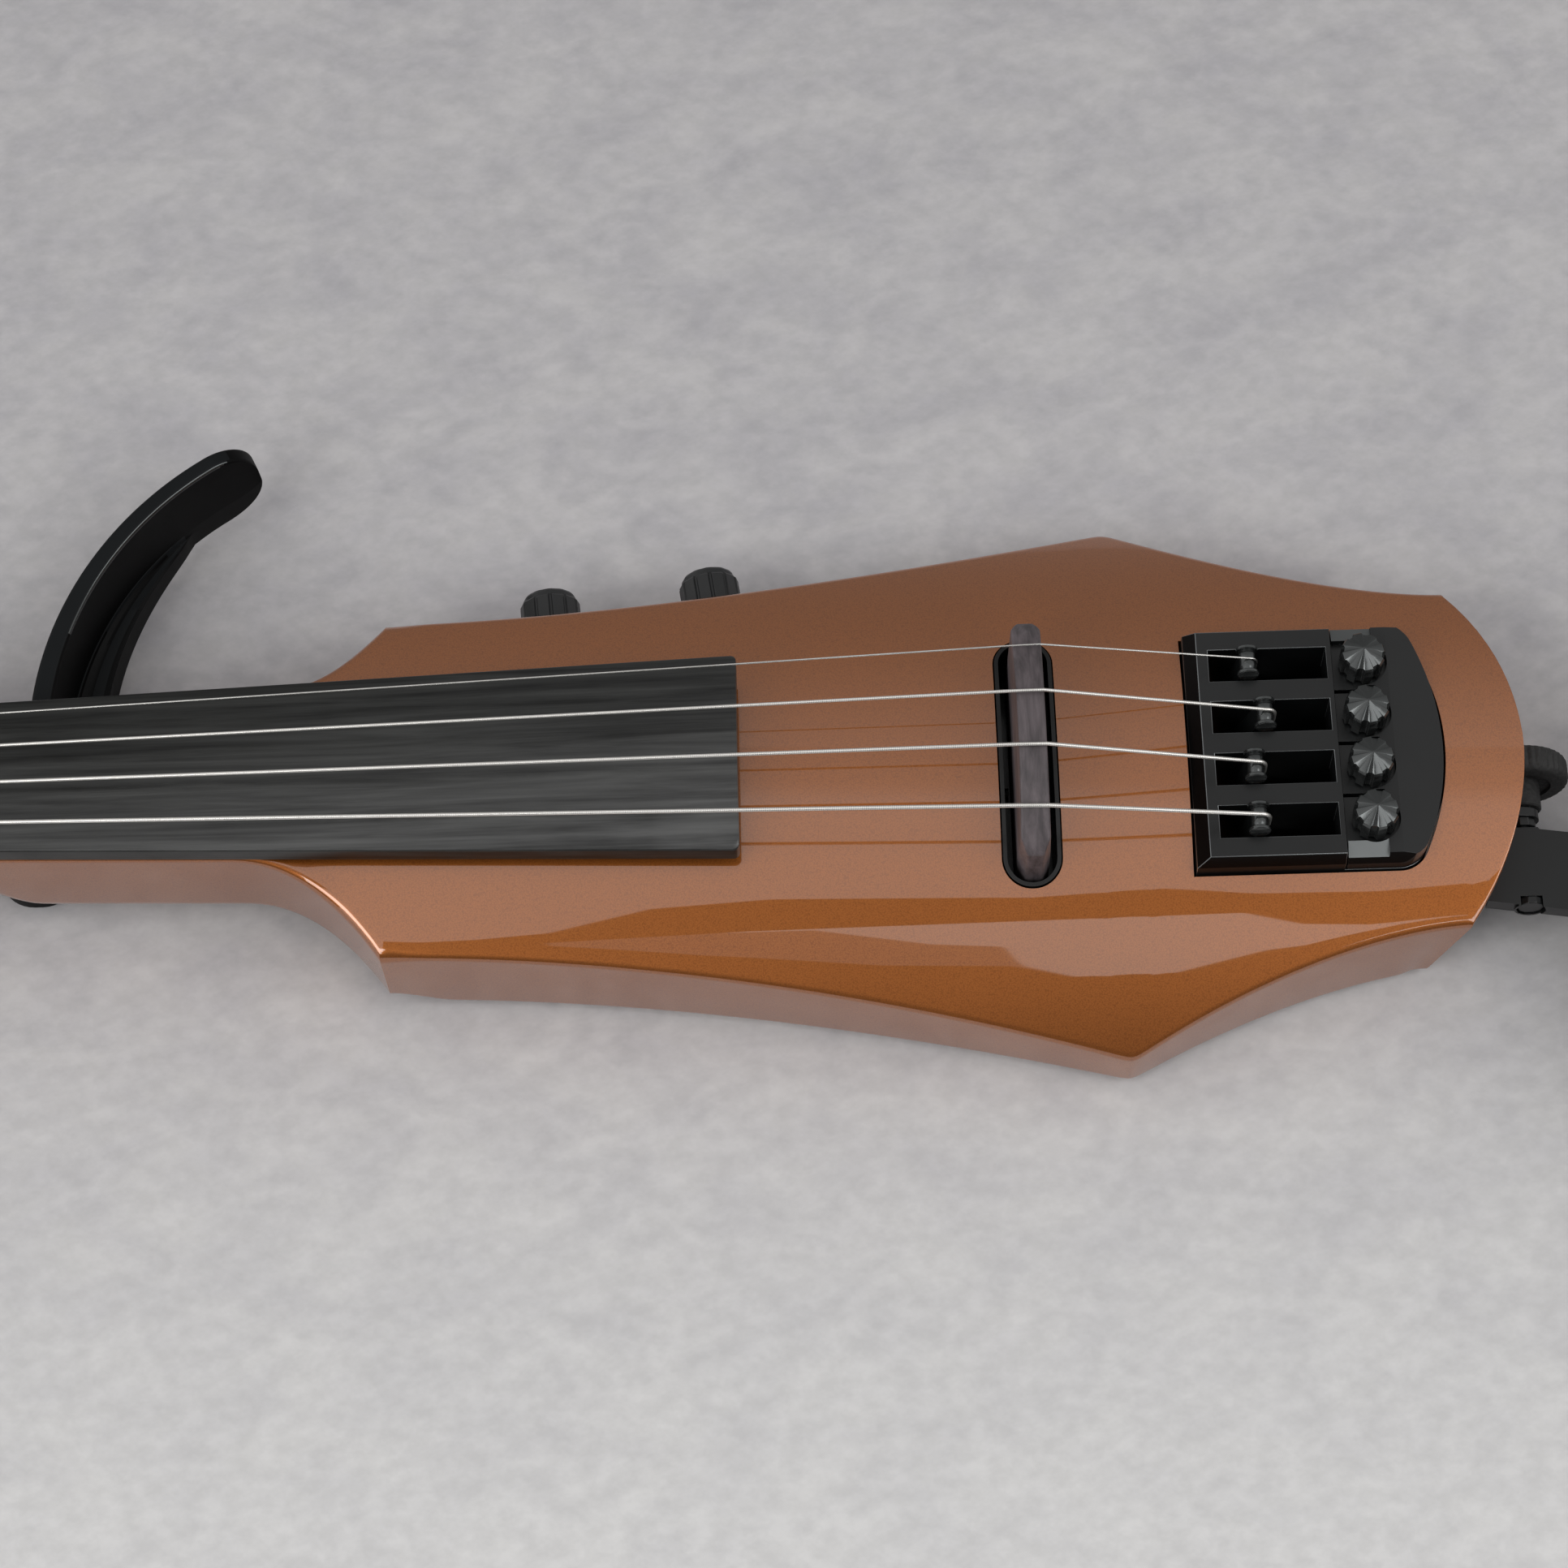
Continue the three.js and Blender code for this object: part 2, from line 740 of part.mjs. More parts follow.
function makeBody() {
  const shell = loft(bodyStations().map(bodySection));
  const well = raised(wellOutline(seatGap), wellFloorZ - linerWall - seatGap, topRise + overrun);
  const pocket = raised(blockOutline(pocketGap), blockFloorZ - seatGap, topRise + overrun);
  const cavity = raised(cavityOutline(0), backZ - overrun, cavityRoofZ);
  const recess = raised(cavityOutline(coverLip + seatGap), backZ - overrun, backZ + coverRecess);
  const potHoles = potXs.map((x) => squareToEdge(x,
    rodAcross(x, controlZ, potBushRadius + seatGap, potSeatY(x) - overrun, wingHalf)));
  const jackHole = rodAcross(jackX, jackZ, jackRadius + seatGap, cavityBassY, wingHalf);
  const jackSeatHole = rodAcross(jackX, jackZ, jackSeatRadius, sideHalf(jackX) - jackSeat, wingHalf);
  const leadHole = rodAlong(0, leadZ, leadRadius + seatGap, cavityRearX - overrun, wellCentreX);
  const rod = block(rodFrontX - seatGap, -rodHalf - seatGap, glueNutZ - rodTopDepth - rodDepth - seatGap,
    rodRearX + seatGap, rodHalf + seatGap, glueEndZ + overrun);
  const wheelPocket = block(hingeX - wheelRadius - seatGap * 2, earTrebleY - seatGap,
    hingeZ - wheelRadius - seatGap * 2, tailEndX + overrun, wheelTrebleY + seatGap * 2,
    hingeZ + wheelRadius + seatGap * 2);
  const bracketPocket = block(bracketX, bracketBassY - seatGap, bracketFootZ - seatGap,
    tailEndX + overrun, bracketTrebleY + seatGap, bracketTopZ + seatGap);
  const screwHoles = [
    ...coverScrews.map(([x, y]) =>
      rodUp(x, y, screwShank + seatGap, backZ - overrun, backZ + coverThick + screwLength + seatGap)),
    ...armScrews.map(([x, y]) =>
      rodUp(x, y, screwShank + seatGap, heelBackZ - overrun, heelBackZ + screwLength + seatGap)),
    ...bracketScrewYs.map((y) =>
      rodAlong(y, bracketScrewZ, screwShank + seatGap, bracketX - screwLength - seatGap, bracketX + overrun)),
  ];
  return cut(shell, well, pocket, cavity, recess, ...potHoles, jackHole, jackSeatHole, leadHole, rod,
    wheelPocket, bracketPocket, ...screwHoles);
}

// Fingerboard: a straight taper with a rounded playing face
function boardSection([x, inset]) {
  const side = mix(boardNutHalf, boardEndHalf, (x - nutX) / (boardEndX - nutX));
  const half = side - inset;
  const foot = glueZ(x) + seatGap;
  const edge = foot + boardSide;
  const sink = boardRadius - Math.sqrt(boardRadius ** 2 - side ** 2);
  const ring = [];
  const steps = 12;
  for (let i = 0; i <= steps; i++) {
    const y = mix(half - boardBevel, boardBevel - half, i / steps);
    ring.push([y, edge + sink - (boardRadius - Math.sqrt(boardRadius ** 2 - y * y))]);
  }
  ring.push([-half, edge - boardBevel], [-half, foot], [half, foot], [half, edge - boardBevel]);
  return ring.map(([y, z]) => new THREE.Vector3(x, y, z));
}

function makeFingerboard() {
  const corner = [0, 0.5, 0.87, 1].map((share) =>
    [boardEndX - boardCorner * (1 - share), boardCorner * (1 - Math.sqrt(1 - share ** 2))]);
  const rings = [[nutX + seatGap, 0], [mix(nutX, boardEndX, 0.5), 0], ...corner].map(boardSection);
  return loft(rings);
}

function stringY(name, spacing) {
  return stringPlaceShares[stringNames.indexOf(name)] * spacing;
}

function bridgeStringHeight(y) {
  return bridgeStringZ - (bridgeCrownRadius - Math.sqrt(bridgeCrownRadius ** 2 - y * y));
}

function nutStringHeight(y) {
  return nutStringZ - (boardRadius - Math.sqrt(boardRadius ** 2 - y * y));
}

function makeNut() {
  const steps = 10;
  const points = [[neckNutHalf, glueNutZ + seatGap], [-neckNutHalf, glueNutZ + seatGap]];
  points.reverse();
  for (let i = 0; i <= steps; i++) {
    const y = mix(neckNutHalf, -neckNutHalf, i / steps);
    points.push([y, nutStringHeight(y) + stringRadii.g]);
  }
  const blank = along(polygon(points), nutX - nutLength, nutX);
  const grooves = stringNames.map((name) => {
    const y = stringY(name, nutSpacing);
    const z = nutStringHeight(y);
    return rodAlong(y, z, stringRadii[name] + seatGap / 2, nutX - nutLength - overrun, nutX + overrun);
  });
  const open = stringNames.map((name) => {
    const y = stringY(name, nutSpacing);
    const half = stringRadii[name] + seatGap / 2;
    return block(nutX - nutLength - overrun, y - half, nutStringHeight(y), nutX + overrun, y + half,
      nutStringZ + overrun);
  });
  return cut(blank, ...grooves, ...open);
}

function bridgeCrownZ(y) {
  const crown = bridgeCrownRadius - stringRadii.g - seatGap;
  return bridgeStringZ - bridgeCrownRadius + Math.sqrt(crown ** 2 - y * y);
}

function makeBridge() {
  const steps = 14;
  const foot = wellFloorZ + pickupHeight + seatGap * 2;
  const shoulder = bridgeCrownHalf - bridgeCorner / 2;
  const points = [[bridgeFootHalf, foot], [bridgeFootHalf, bridgeCrownZ(shoulder) - bridgeCorner]];
  for (let i = 0; i <= steps; i++) {
    const y = mix(shoulder, -shoulder, i / steps);
    points.push([y, bridgeCrownZ(y)]);
  }
  points.push([-bridgeFootHalf, bridgeCrownZ(shoulder) - bridgeCorner], [-bridgeFootHalf, foot]);
  points.push([-bridgeArchHalf, foot], [-bridgeArchHalf * 0.8, foot + bridgeArch]);
  points.push([bridgeArchHalf * 0.8, foot + bridgeArch], [bridgeArchHalf, foot]);
  const blank = along(polygon(points), bridgeCentreX - bridgeThick / 2, bridgeCentreX + bridgeThick / 2);
  const thin = (bridgeThick - bridgeTopThick) / 2;
  const sides = [-1, 1];
  const tapers = sides.map((side) => {
    const face = bridgeCentreX + (side * bridgeThick) / 2;
    return across(polygon([
      [face - side * thin, bridgeStringZ + overrun],
      [face - side * thin, bridgeStringZ],
      [face, topRise],
      [face + side * overrun, topRise],
      [face + side * overrun, bridgeStringZ + overrun],
    ]), -bridgeFootHalf - overrun, bridgeFootHalf + overrun);
  });
  const chamfers = sides.flatMap((side) => sides.map((hand) => {
    const cornerX = bridgeCentreX + (side * bridgeThick) / 2;
    const cornerY = hand * bridgeFootHalf;
    return raised(polygon([
      [cornerX - side * bridgeEndChamfer, cornerY + hand * bridgeEndChamfer],
      [cornerX - side * bridgeEndChamfer, cornerY],
      [cornerX, cornerY - hand * bridgeEndChamfer * 2],
      [cornerX + side * bridgeEndChamfer, cornerY - hand * bridgeEndChamfer * 2],
      [cornerX + side * bridgeEndChamfer, cornerY + hand * bridgeEndChamfer],
    ]), foot - overrun, bridgeStringZ + overrun);
  }));
  return cut(blank, ...tapers, ...chamfers);
}

function makePickup() {
  return block(bridgeCentreX - bridgeThick / 2, -pickupHalf, wellFloorZ + seatGap,
    bridgeCentreX + bridgeThick / 2, pickupHalf, wellFloorZ + seatGap + pickupHeight);
}

function makeWellLiner() {
  const outer = raised(wellOutline(0), wellFloorZ - linerWall, topRise + overrun);
  const inner = raised(wellOutline(-linerWall), wellFloorZ, topRise + overrun * 2);
  const top = underTop(linerLip, wellCentreX - wellWidth, wellCentreX + wellWidth);
  const leadHole = rodAlong(0, leadZ, leadRadius + seatGap, wellCentreX - wellWidth, wellCentreX);
  return cut(outer, inner, leadHole).intersect(top);
}

// Tuner block: a deck with four slots over four bays, and a lower seat for the rear cover
function slotY(name) {
  return stringY(name, postSpacing);
}

function deckBevels() {
  const wide = blockHalf + overrun;
  const front = across(polygon([
    [blockFrontX - overrun, deckZ - deckBevelDrop],
    [blockFrontX, deckZ - deckBevelDrop],
    [blockFrontX + deckBevel, deckZ],
    [blockFrontX + deckBevel, deckZ + overrun],
    [blockFrontX - overrun, deckZ + overrun],
  ]), -wide, wide);
  const sides = [-1, 1].map((side) => along(polygon([
    [side * (blockHalf + overrun), deckZ - deckBevelDrop],
    [side * blockHalf, deckZ - deckBevelDrop],
    [side * (blockHalf - deckBevel), deckZ],
    [side * (blockHalf - deckBevel), deckZ + overrun],
    [side * (blockHalf + overrun), deckZ + overrun],
  ]), blockFrontX - overrun, blockRearX + overrun));
  return [front, ...sides];
}

function makeTunerBlock() {
  const blank = raised(blockOutline(0), blockFloorZ, deckZ);
  const rearStep = block(seamX, -blockHalf - overrun, coverSeatZ, blockRearX + overrun,
    blockHalf + overrun, deckZ + overrun);
  const bays = stringNames.map((name) => {
    const y = slotY(name);
    const half = slotWidth / 2;
    return block(slotFrontX, y - half, blockFloorZ - overrun, knobX + forkLength, y + half,
      coverSeatZ - deckThick);
  });
  const slots = stringNames.map((name) => {
    const y = slotY(name);
    const half = slotWidth / 2;
    return block(slotFrontX, y - half, blockFloorZ - overrun, slotRearX, y + half, deckZ + overrun);
  });
  const axleHole = rodAcross(axleX, axleZ, axleRadius + runGap, -blockHalf - overrun, blockHalf + overrun);
  const screwHoles = stringNames.map((name) =>
    rodUp(knobX, slotY(name), screwRadius + runGap, blockFloorZ - overrun, deckZ + overrun));
  return cut(blank, rearStep, ...deckBevels(), ...bays, ...slots, axleHole, ...screwHoles);
}

function makeRearCover() {
  const blank = raised(blockOutline(0), coverSeatZ + seatGap, deckZ);
  const front = block(blockFrontX - overrun, -blockHalf - overrun, coverSeatZ, seamX + seatGap,
    blockHalf + overrun, deckZ + overrun);
  const fall = across(polygon([
    [channelRearX, deckZ],
    [blockRearX, coverTailZ],
    [blockRearX + overrun, coverTailZ],
    [blockRearX + overrun, deckZ + overrun],
    [channelRearX, deckZ + overrun],
  ]), -blockHalf - overrun, blockHalf + overrun);
  const channelHalf = postSpacing * 1.5 + knobRadius + runGap;
  const channel = block(seamX - overrun, -channelHalf, channelFloorZ, knobX + runGap, channelHalf,
    deckZ + overrun);
  const wedges = [-1, 1].map((side) => along(polygon([
    [side * channelHalf * 0.98, deckZ],
    [side * (blockHalf + seatGap), deckZ - wedgeDrop],
    [side * (blockHalf + seatGap), deckZ + overrun],
    [side * channelHalf * 0.98, deckZ + overrun],
  ]), seamX - overrun, slitEndX));
  const slits = [-1, 0, 1].map((place) => block(seamX - overrun, place * postSpacing - slitWidth / 2,
    coverSeatZ + seatGap * 2, slitEndX, place * postSpacing + slitWidth / 2, deckZ + overrun));
  const scallops = stringNames.map((name) =>
    rodUp(knobX, slotY(name), knobRadius + runGap * 2, channelFloorZ, deckZ + overrun, roundSteps));
  const holes = stringNames.map((name) =>
    rodUp(knobX, slotY(name), screwRadius + runGap, coverSeatZ - overrun, deckZ + overrun));
  return cut(blank, front, fall, channel, ...wedges, ...slits, ...scallops, ...deckBevels(), ...holes);
}

// Bell-crank lever: a finger with the grooved string post, and a forked arm under the traveller
function leverTilt(name) {
  return leverTiltShares[name] * Math.PI;
}

const leverArm = knobX - axleX;

function noseTopZ(name) {
  return axleZ - leverArm * Math.sin(leverTilt(name)) + noseRadius;
}

function makeLever(name) {
  const y = slotY(name);
  const half = leverThick / 2;
  const side = new THREE.Shape();
  side.moveTo(-fingerWidth / 2, postRise);
  side.lineTo(-hubRadius, 0);
  side.absarc(0, 0, hubRadius, Math.PI, Math.PI * 1.7, false);
  side.lineTo(leverArm - forkLength, -armHeight / 2);
  side.lineTo(leverArm - forkLength, armHeight / 2);
  side.lineTo(hubRadius, hubRadius * 0.8);
  side.lineTo(fingerWidth / 2, hubRadius * 1.8);
  side.lineTo(fingerWidth / 2, postRise);
  const plate = across(side, -half, half);
  const tines = [-1, 1].map((hand) => {
    const inner = forkGap / 2;
    const outer = inner + forkTine / 2;
    const low = Math.min(hand * inner, hand * outer);
    const high = Math.max(hand * inner, hand * outer);
    const bar = roundedBox(leverArm - forkLength - overrun, -armHeight / 2, leverArm + forkReach,
      armHeight / 2, armHeight * 0.45, 2);
    return join(across(bar, low, high), rodAcross(leverArm, 0, noseRadius, low, high));
  });
  const yoke = block(leverArm - forkLength - overrun / 2, -forkGap / 2 - forkTine / 2, -armHeight / 2,
    leverArm - forkLength + forkTine, forkGap / 2 + forkTine / 2, armHeight / 2);
  const post = rodAcross(0, postRise, postRadius, -postHalf, postHalf);
  const flanges = [-1, 1].map((hand) => {
    const face = hand * postHalf;
    return rodAcross(0, postRise, postFlangeRadius, Math.min(face, face - hand * postFlange),
      Math.max(face, face - hand * postFlange));
  });
  const bore = rodAcross(0, 0, axleRadius + runGap / 2, -half - overrun, half + overrun);
  const lever = cut(join(plate, ...tines, yoke, post, ...flanges), bore);
  const turn = (leverTilt(name) * 180) / Math.PI;
  return lever.rotate([0, turn, 0]).translate([axleX, y, axleZ]);
}

function makeAxle() {
  return rodAcross(axleX, axleZ, axleRadius, seatGap - blockHalf, blockHalf - seatGap);
}

function makeTunerScrew(name) {
  const y = slotY(name);
  const collarTop = coverSeatZ - deckThick - seatGap;
  const stem = rodUp(knobX, y, screwRadius, screwEndZ, channelFloorZ + knobRise + knobSide / 2);
  const collar = rodUp(knobX, y, screwCollarRadius, collarTop - screwCollar, collarTop);
  return join(stem, collar);
}

function makeTraveller(name) {
  const y = slotY(name);
  const foot = noseTopZ(name) + runGap;
  const ring = raised(roundedBox(knobX - travellerRadius, y - travellerFlat / 2, knobX + travellerRadius,
    y + travellerFlat / 2, travellerFlat / 5, 3), foot, foot + travellerHeight);
  return cut(ring, rodUp(knobX, y, screwRadius + seatGap, foot - overrun, foot + travellerHeight + overrun));
}

// Fluted knob with a faceted cone on top
function makeTunerKnob(name) {
  const y = slotY(name);
  const foot = channelFloorZ + knobRise;
  const ring = (radius, flute, z) => {
    const points = [];
    for (let i = 0; i < knobFlutes; i++) {
      const step = (2 * Math.PI) / knobFlutes;
      const places = knobRibShares.map((share, k) => [share, k < 2 ? 0 : flute]);
      for (const [share, depth] of places) {
        const angle = (i + share) * step;
        const reach = radius - depth;
        points.push(new THREE.Vector3(knobX + reach * Math.cos(angle), y + reach * Math.sin(angle), z));
      }
    }
    return points;
  };
  const top = foot + knobSide;
  const body = loft([
    ring(knobRadius, knobFluteDepth, foot),
    ring(knobRadius, knobFluteDepth, top),
    ring(knobRadius * 0.9, knobFluteDepth, top + knobCone * 0.35),
    ring(knobRadius * 0.16, 0, top + knobCone),
  ]);
  return cut(body, rodUp(knobX, y, screwRadius + seatGap / 2, foot - overrun, foot + knobSide / 2 + seatGap));
}

// Strings: from the ball in the head plate over nut and bridge, round the post and down its back
const anchorX = nutX - headLength * 0.46;
const anchorThick = 3;
const anchorTopZ = glueNutZ - headDrop * 0.2;
const ballRadius = 1.7;
const ballLength = 3;
const anchorWall = 1.8;

function postCentre(name) {
  const tilt = leverTilt(name);
  return [axleX + postRise * Math.sin(tilt), axleZ + postRise * Math.cos(tilt)];
}

function makeString(name) {
  const radius = stringRadii[name];
  const headY = stringY(name, nutSpacing);
  const bridgeY = stringY(name, bridgeSpacing);
  const postY = slotY(name);
  const [postX, postZ] = postCentre(name);
  const wrap = postRadius + radius + seatGap / 2;
  const anchorZ = anchorTopZ + ballRadius + seatGap;
  const ballX = anchorX - ballRadius - seatGap;
  const points = [
    [ballX, headY, anchorZ],
    [anchorX + anchorWall, headY, anchorZ],
    [nutX - nutLength - seatGap, headY, nutStringHeight(headY)],
    [nutX, headY, nutStringHeight(headY)],
    [-bridgeTopThick, mix(bridgeY, headY, bridgeTopThick / stringLength), bridgeStringHeight(bridgeY)],
    [0, bridgeY, bridgeStringHeight(bridgeY)],
  ];
  const steps = 5;
  for (let i = 0; i <= steps; i++) {
    const angle = mix(0.5, 0, i / steps) * Math.PI;
    points.push([postX + wrap * Math.cos(angle), postY, postZ + wrap * Math.sin(angle)]);
  }
  points.push([postX + wrap, postY, postZ - postRadius * 2]);
  const line = wire(points, radius);
  const ball = rodAcross(ballX, anchorZ, ballRadius, headY - ballLength / 2, headY + ballLength / 2);
  return join(line, ball);
}

function makeHeadPlate() {
  const half = headHalf - rimRound * 2;
  const foot = anchorTopZ - anchorThick / 2;
  const plate = raised(roundedBox(anchorX - ballLength * 2, -half, anchorX + ballLength, half, rimRound),
    foot, anchorTopZ);
  const wall = block(anchorX, -half + rimRound, anchorTopZ - seatGap, anchorX + anchorWall,
    half - rimRound, anchorTopZ + ballRadius * 2 + seatGap);
  const slots = stringNames.map((name) => {
    const y = stringY(name, nutSpacing);
    const slot = stringRadii[name] + seatGap;
    return block(anchorX - overrun, y - slot, anchorTopZ, anchorX + overrun, y + slot,
      anchorTopZ + ballRadius * 4);
  });
  return cut(join(plate, wall), ...slots);
}

// Side controls
function makePot(x) {
  const seat = potSeatY(x);
  const outer = sideHalf(x);
  const can = rodAcross(x, controlZ, potBodyRadius, seat - potBodyLength, seat, roundSteps);
  const bush = rodAcross(x, controlZ, potBushRadius, seat - seatGap, outer - seatGap);
  const bore = rodAcross(x, controlZ, potShaftRadius + runGap / 2, seat - potBodyLength / 2, outer + overrun);
  const tags = [-1, 0, 1].map((i) => block(x + i * potBushRadius - tagWidth / 2, seat - potBodyLength,
    controlZ - potBodyRadius - tagReach, x + i * potBushRadius + tagWidth / 2,
    seat - potBodyLength + tagThick, controlZ));
  return squareToEdge(x, join(cut(join(can, bush), bore), ...tags));
}

function makePotShaft(x) {
  return squareToEdge(x, rodAcross(x, controlZ, potShaftRadius,
    potSeatY(x) - potBodyLength / 2 + seatGap, knobSeatY(x) + controlKnobLength - controlKnobRimLength));
}

function makeControlKnob(x) {
  const foot = knobSeatY(x);
  const rimFoot = foot + controlKnobLength - controlKnobRimLength;
  const star = [];
  for (let i = 0; i < controlKnobRibs; i++) {
    controlRibShares.forEach((share, k) => {
      const angle = ((i + share) / controlKnobRibs) * 2 * Math.PI;
      const reach = controlKnobRadius - (k < 2 ? 0 : controlKnobRibDepth);
      star.push([x + reach * Math.cos(angle), controlZ + reach * Math.sin(angle)]);
    });
  }
  const grip = across(polygon(star), foot, rimFoot);
  const rim = rodAcross(x, controlZ, controlKnobRim, rimFoot - seatGap, foot + controlKnobLength, roundSteps);
  const bore = rodAcross(x, controlZ, potShaftRadius + seatGap / 2, foot - overrun, rimFoot + seatGap);
  return squareToEdge(x, cut(join(grip, rim), bore));
}

function makeJack() {
  const mouth = sideHalf(jackX) - seatGap;
  const barrel = rodAcross(jackX, jackZ, jackRadius, mouth - jackLength, mouth, roundSteps);
  const bore = rodAcross(jackX, jackZ, jackBore, mouth - jackLength + jackSeat, mouth + overrun, roundSteps);
  return cut(barrel, bore);
}

function makeJackNut() {
  const foot = sideHalf(jackX) - jackSeat + seatGap;
  const hex = across(circle(jackX, jackZ, jackNutRadius, 6), foot, foot + jackNutHeight);
  const hole = rodAcross(jackX, jackZ, jackRadius + seatGap, foot - overrun, foot + overrun * 2, roundSteps);
  return cut(hex, hole);
}

function makeCavityCover() {
  const plate = raised(cavityOutline(coverLip), backZ + seatGap, backZ + coverThick);
  const holes = coverScrews.map(([x, y]) => rodUp(x, y, screwShank + seatGap, backZ - overrun, 0));
  return cut(plate, ...holes);
}

function makeCoverScrew([x, y]) {
  return rodUp(x, y, screwShank, backZ + coverThick / 3, backZ + coverThick + screwLength);
}

const boardX = cavityFrontX + boardLong * 0.62;
const boardZ = cavityRoofZ - seatGap - boardStand - boardThick;

function makeCircuitBoard() {
  const front = boardX - boardLong / 2;
  const rear = boardX + boardLong / 2;
  const bass = cavityBassY + overrun / 2;
  const treble = bass + boardWide;
  const plate = block(front, bass, boardZ, rear, treble, boardZ + boardThick);
  const feet = [[front, bass], [front, treble], [rear, bass], [rear, treble]].map(([x, y]) =>
    rodUp(mix(x, boardX, 0.1), mix(y, (bass + treble) / 2, 0.3), boardThick, boardZ,
      cavityRoofZ - seatGap));
  const chips = [0.25, 0.5, 0.75].map((share) => {
    const x = mix(front, rear, share);
    return block(x - boardStand * 2, bass + boardStand * 2, boardZ - boardThick, x + boardStand * 2,
      treble - boardStand * 2, boardZ + boardThick / 2);
  });
  return join(plate, ...feet, ...chips);
}

function makePickupLead() {
  const rear = boardX + boardLong / 2;
  return wire([
    [bridgeCentreX - bridgeThick / 2 - seatGap, 0, leadZ],
    [cavityRearX, 0, leadZ],
    [cavityRearX - boardWide / 2, 0, leadZ],
    [rear + boardStand, 0, boardZ + boardThick / 2],
    [rear + seatGap, 0, boardZ + boardThick / 2],
  ], leadRadius);
}

function makeNeckRod() {
  return block(rodFrontX, -rodHalf, glueNutZ - rodTopDepth - rodDepth, rodRearX, rodHalf,
    glueNutZ - rodTopDepth);
}

// Position arm: a curved blade with a foot flange, on a base plate under the heel
function armPoint(radius, degrees) {
  const angle = (degrees * Math.PI) / 180;
  const base = (armBaseAngle * Math.PI) / 180;
  return [
    armBaseX + radius * Math.cos(angle) - armRadius * Math.cos(base),
    armBaseY + radius * Math.sin(angle) - armRadius * Math.sin(base),
  ];
}

function armRing(degrees, squash) {
  const along = (armBaseAngle - degrees) / (armBaseAngle - armTipAngle);
  const top = mix(armTopThick, armTipThick, along);
  const web = top + armDraft;
  const past = Math.max((degrees - armFlangeAngle) / (armBaseAngle - armFlangeAngle), 0);
  const flange = web + armFlangeWidth * past ** 0.6;
  const foot = mix(armTipFootZ, armFootZ, past);
  const middle = (armTopZ + armTipFootZ) / 2;
  const profile = [
    [0, foot + armEdge],
    [0, armTopZ - armEdge],
    [armEdge, armTopZ],
    [top - armEdge, armTopZ],
    [top, armTopZ - armEdge],
    [web, armCreaseZ],
    [flange, armCreaseZ - armFlangeDrop],
    [flange, foot + armEdge],
    [flange - armEdge, foot],
    [armEdge, foot],
  ];
  return profile.map(([inward, z]) => {
    const [x, y] = armPoint(armRadius - inward, degrees);
    return new THREE.Vector3(x, y, mix(middle, z, squash));
  });
}

function makePositionArm() {
  const rings = spread(armBaseAngle, armRoundAngle, 10).map((angle) => armRing(angle, 1));
  const tipSteps = 5;
  for (let i = 0; i < tipSteps; i++) {
    const turn = (i / tipSteps) * (Math.PI / 2);
    const angle = mix(armRoundAngle, armTipAngle, Math.sin(turn));
    rings.push(armRing(angle, Math.cos(turn)));
  }
  const blade = loft(rings);
  const pad = raised(roundedBox(padX - padHalfLength, padBassY, padX + padHalfLength, padTrebleY,
    padHalfLength * 0.9, 5), armFootZ, heelBackZ - seatGap);
  const neckRoom = block(heelX - heelRun, -armRadius, heelBackZ - seatGap, scoopX,
    neckHalf(heelX) + seatGap * 2, armTopZ + overrun);
  const holes = armScrews.map(([x, y]) =>
    rodUp(x, y, screwShank + seatGap, armFootZ - overrun, heelBackZ + overrun));
  return cut(join(blade, pad), neckRoom, ...holes);
}

function makeArmScrew([x, y]) {
  return rodUp(x, y, screwShank, armFootZ + screwHeadHeight, heelBackZ + screwLength);
}

// Rest hinge: bracket in the tail with one ear, bolt, thumb wheel and the flat bar
const earBassY = earTrebleY - earThick;

function makeBracket() {
  const plate = block(bracketX + seatGap, bracketBassY, bracketFootZ, bracketX + bracketThick,
    bracketTrebleY, bracketTopZ);
  const web = across(polygon([
    [bracketX + seatGap, bracketFootZ],
    [hingeX, hingeZ - earRadius],
    [hingeX, hingeZ + earRadius],
    [bracketX + seatGap, bracketTopZ],
  ]), earBassY, earTrebleY);
  const eye = rodAcross(hingeX, hingeZ, earRadius, earBassY, earTrebleY, roundSteps);
  const spacer = rodAcross(hingeX, hingeZ, hingePinRadius * 1.5, knuckleTrebleY + seatGap, earTrebleY);
  const pinHole = rodAcross(hingeX, hingeZ, hingePinRadius + runGap / 2, knuckleTrebleY - overrun,
    wheelTrebleY);
  const holes = bracketScrewYs.map((y) =>
    rodAlong(y, bracketScrewZ, screwShank + seatGap, bracketX - overrun, bracketX + overrun * 2));
  return cut(join(plate, web, eye, spacer), pinHole, ...holes);
}

function makeBracketScrew(y) {
  const face = bracketX + bracketThick + seatGap;
  return join(
    rodAlong(y, bracketScrewZ, screwShank, bracketX - screwLength, face + screwHeadHeight / 2),
    rodAlong(y, bracketScrewZ, screwHead, face, face + screwHeadHeight),
  );
}

function makeHingePin() {
  const stem = rodAcross(hingeX, hingeZ, hingePinRadius, knuckleBassY + boltHead / 2,
    wheelTrebleY - wheelThick / 2);
  const head = rodAcross(hingeX, hingeZ, boltHeadRadius, knuckleBassY + seatGap, knuckleBassY + boltHead);
  return join(stem, head);
}

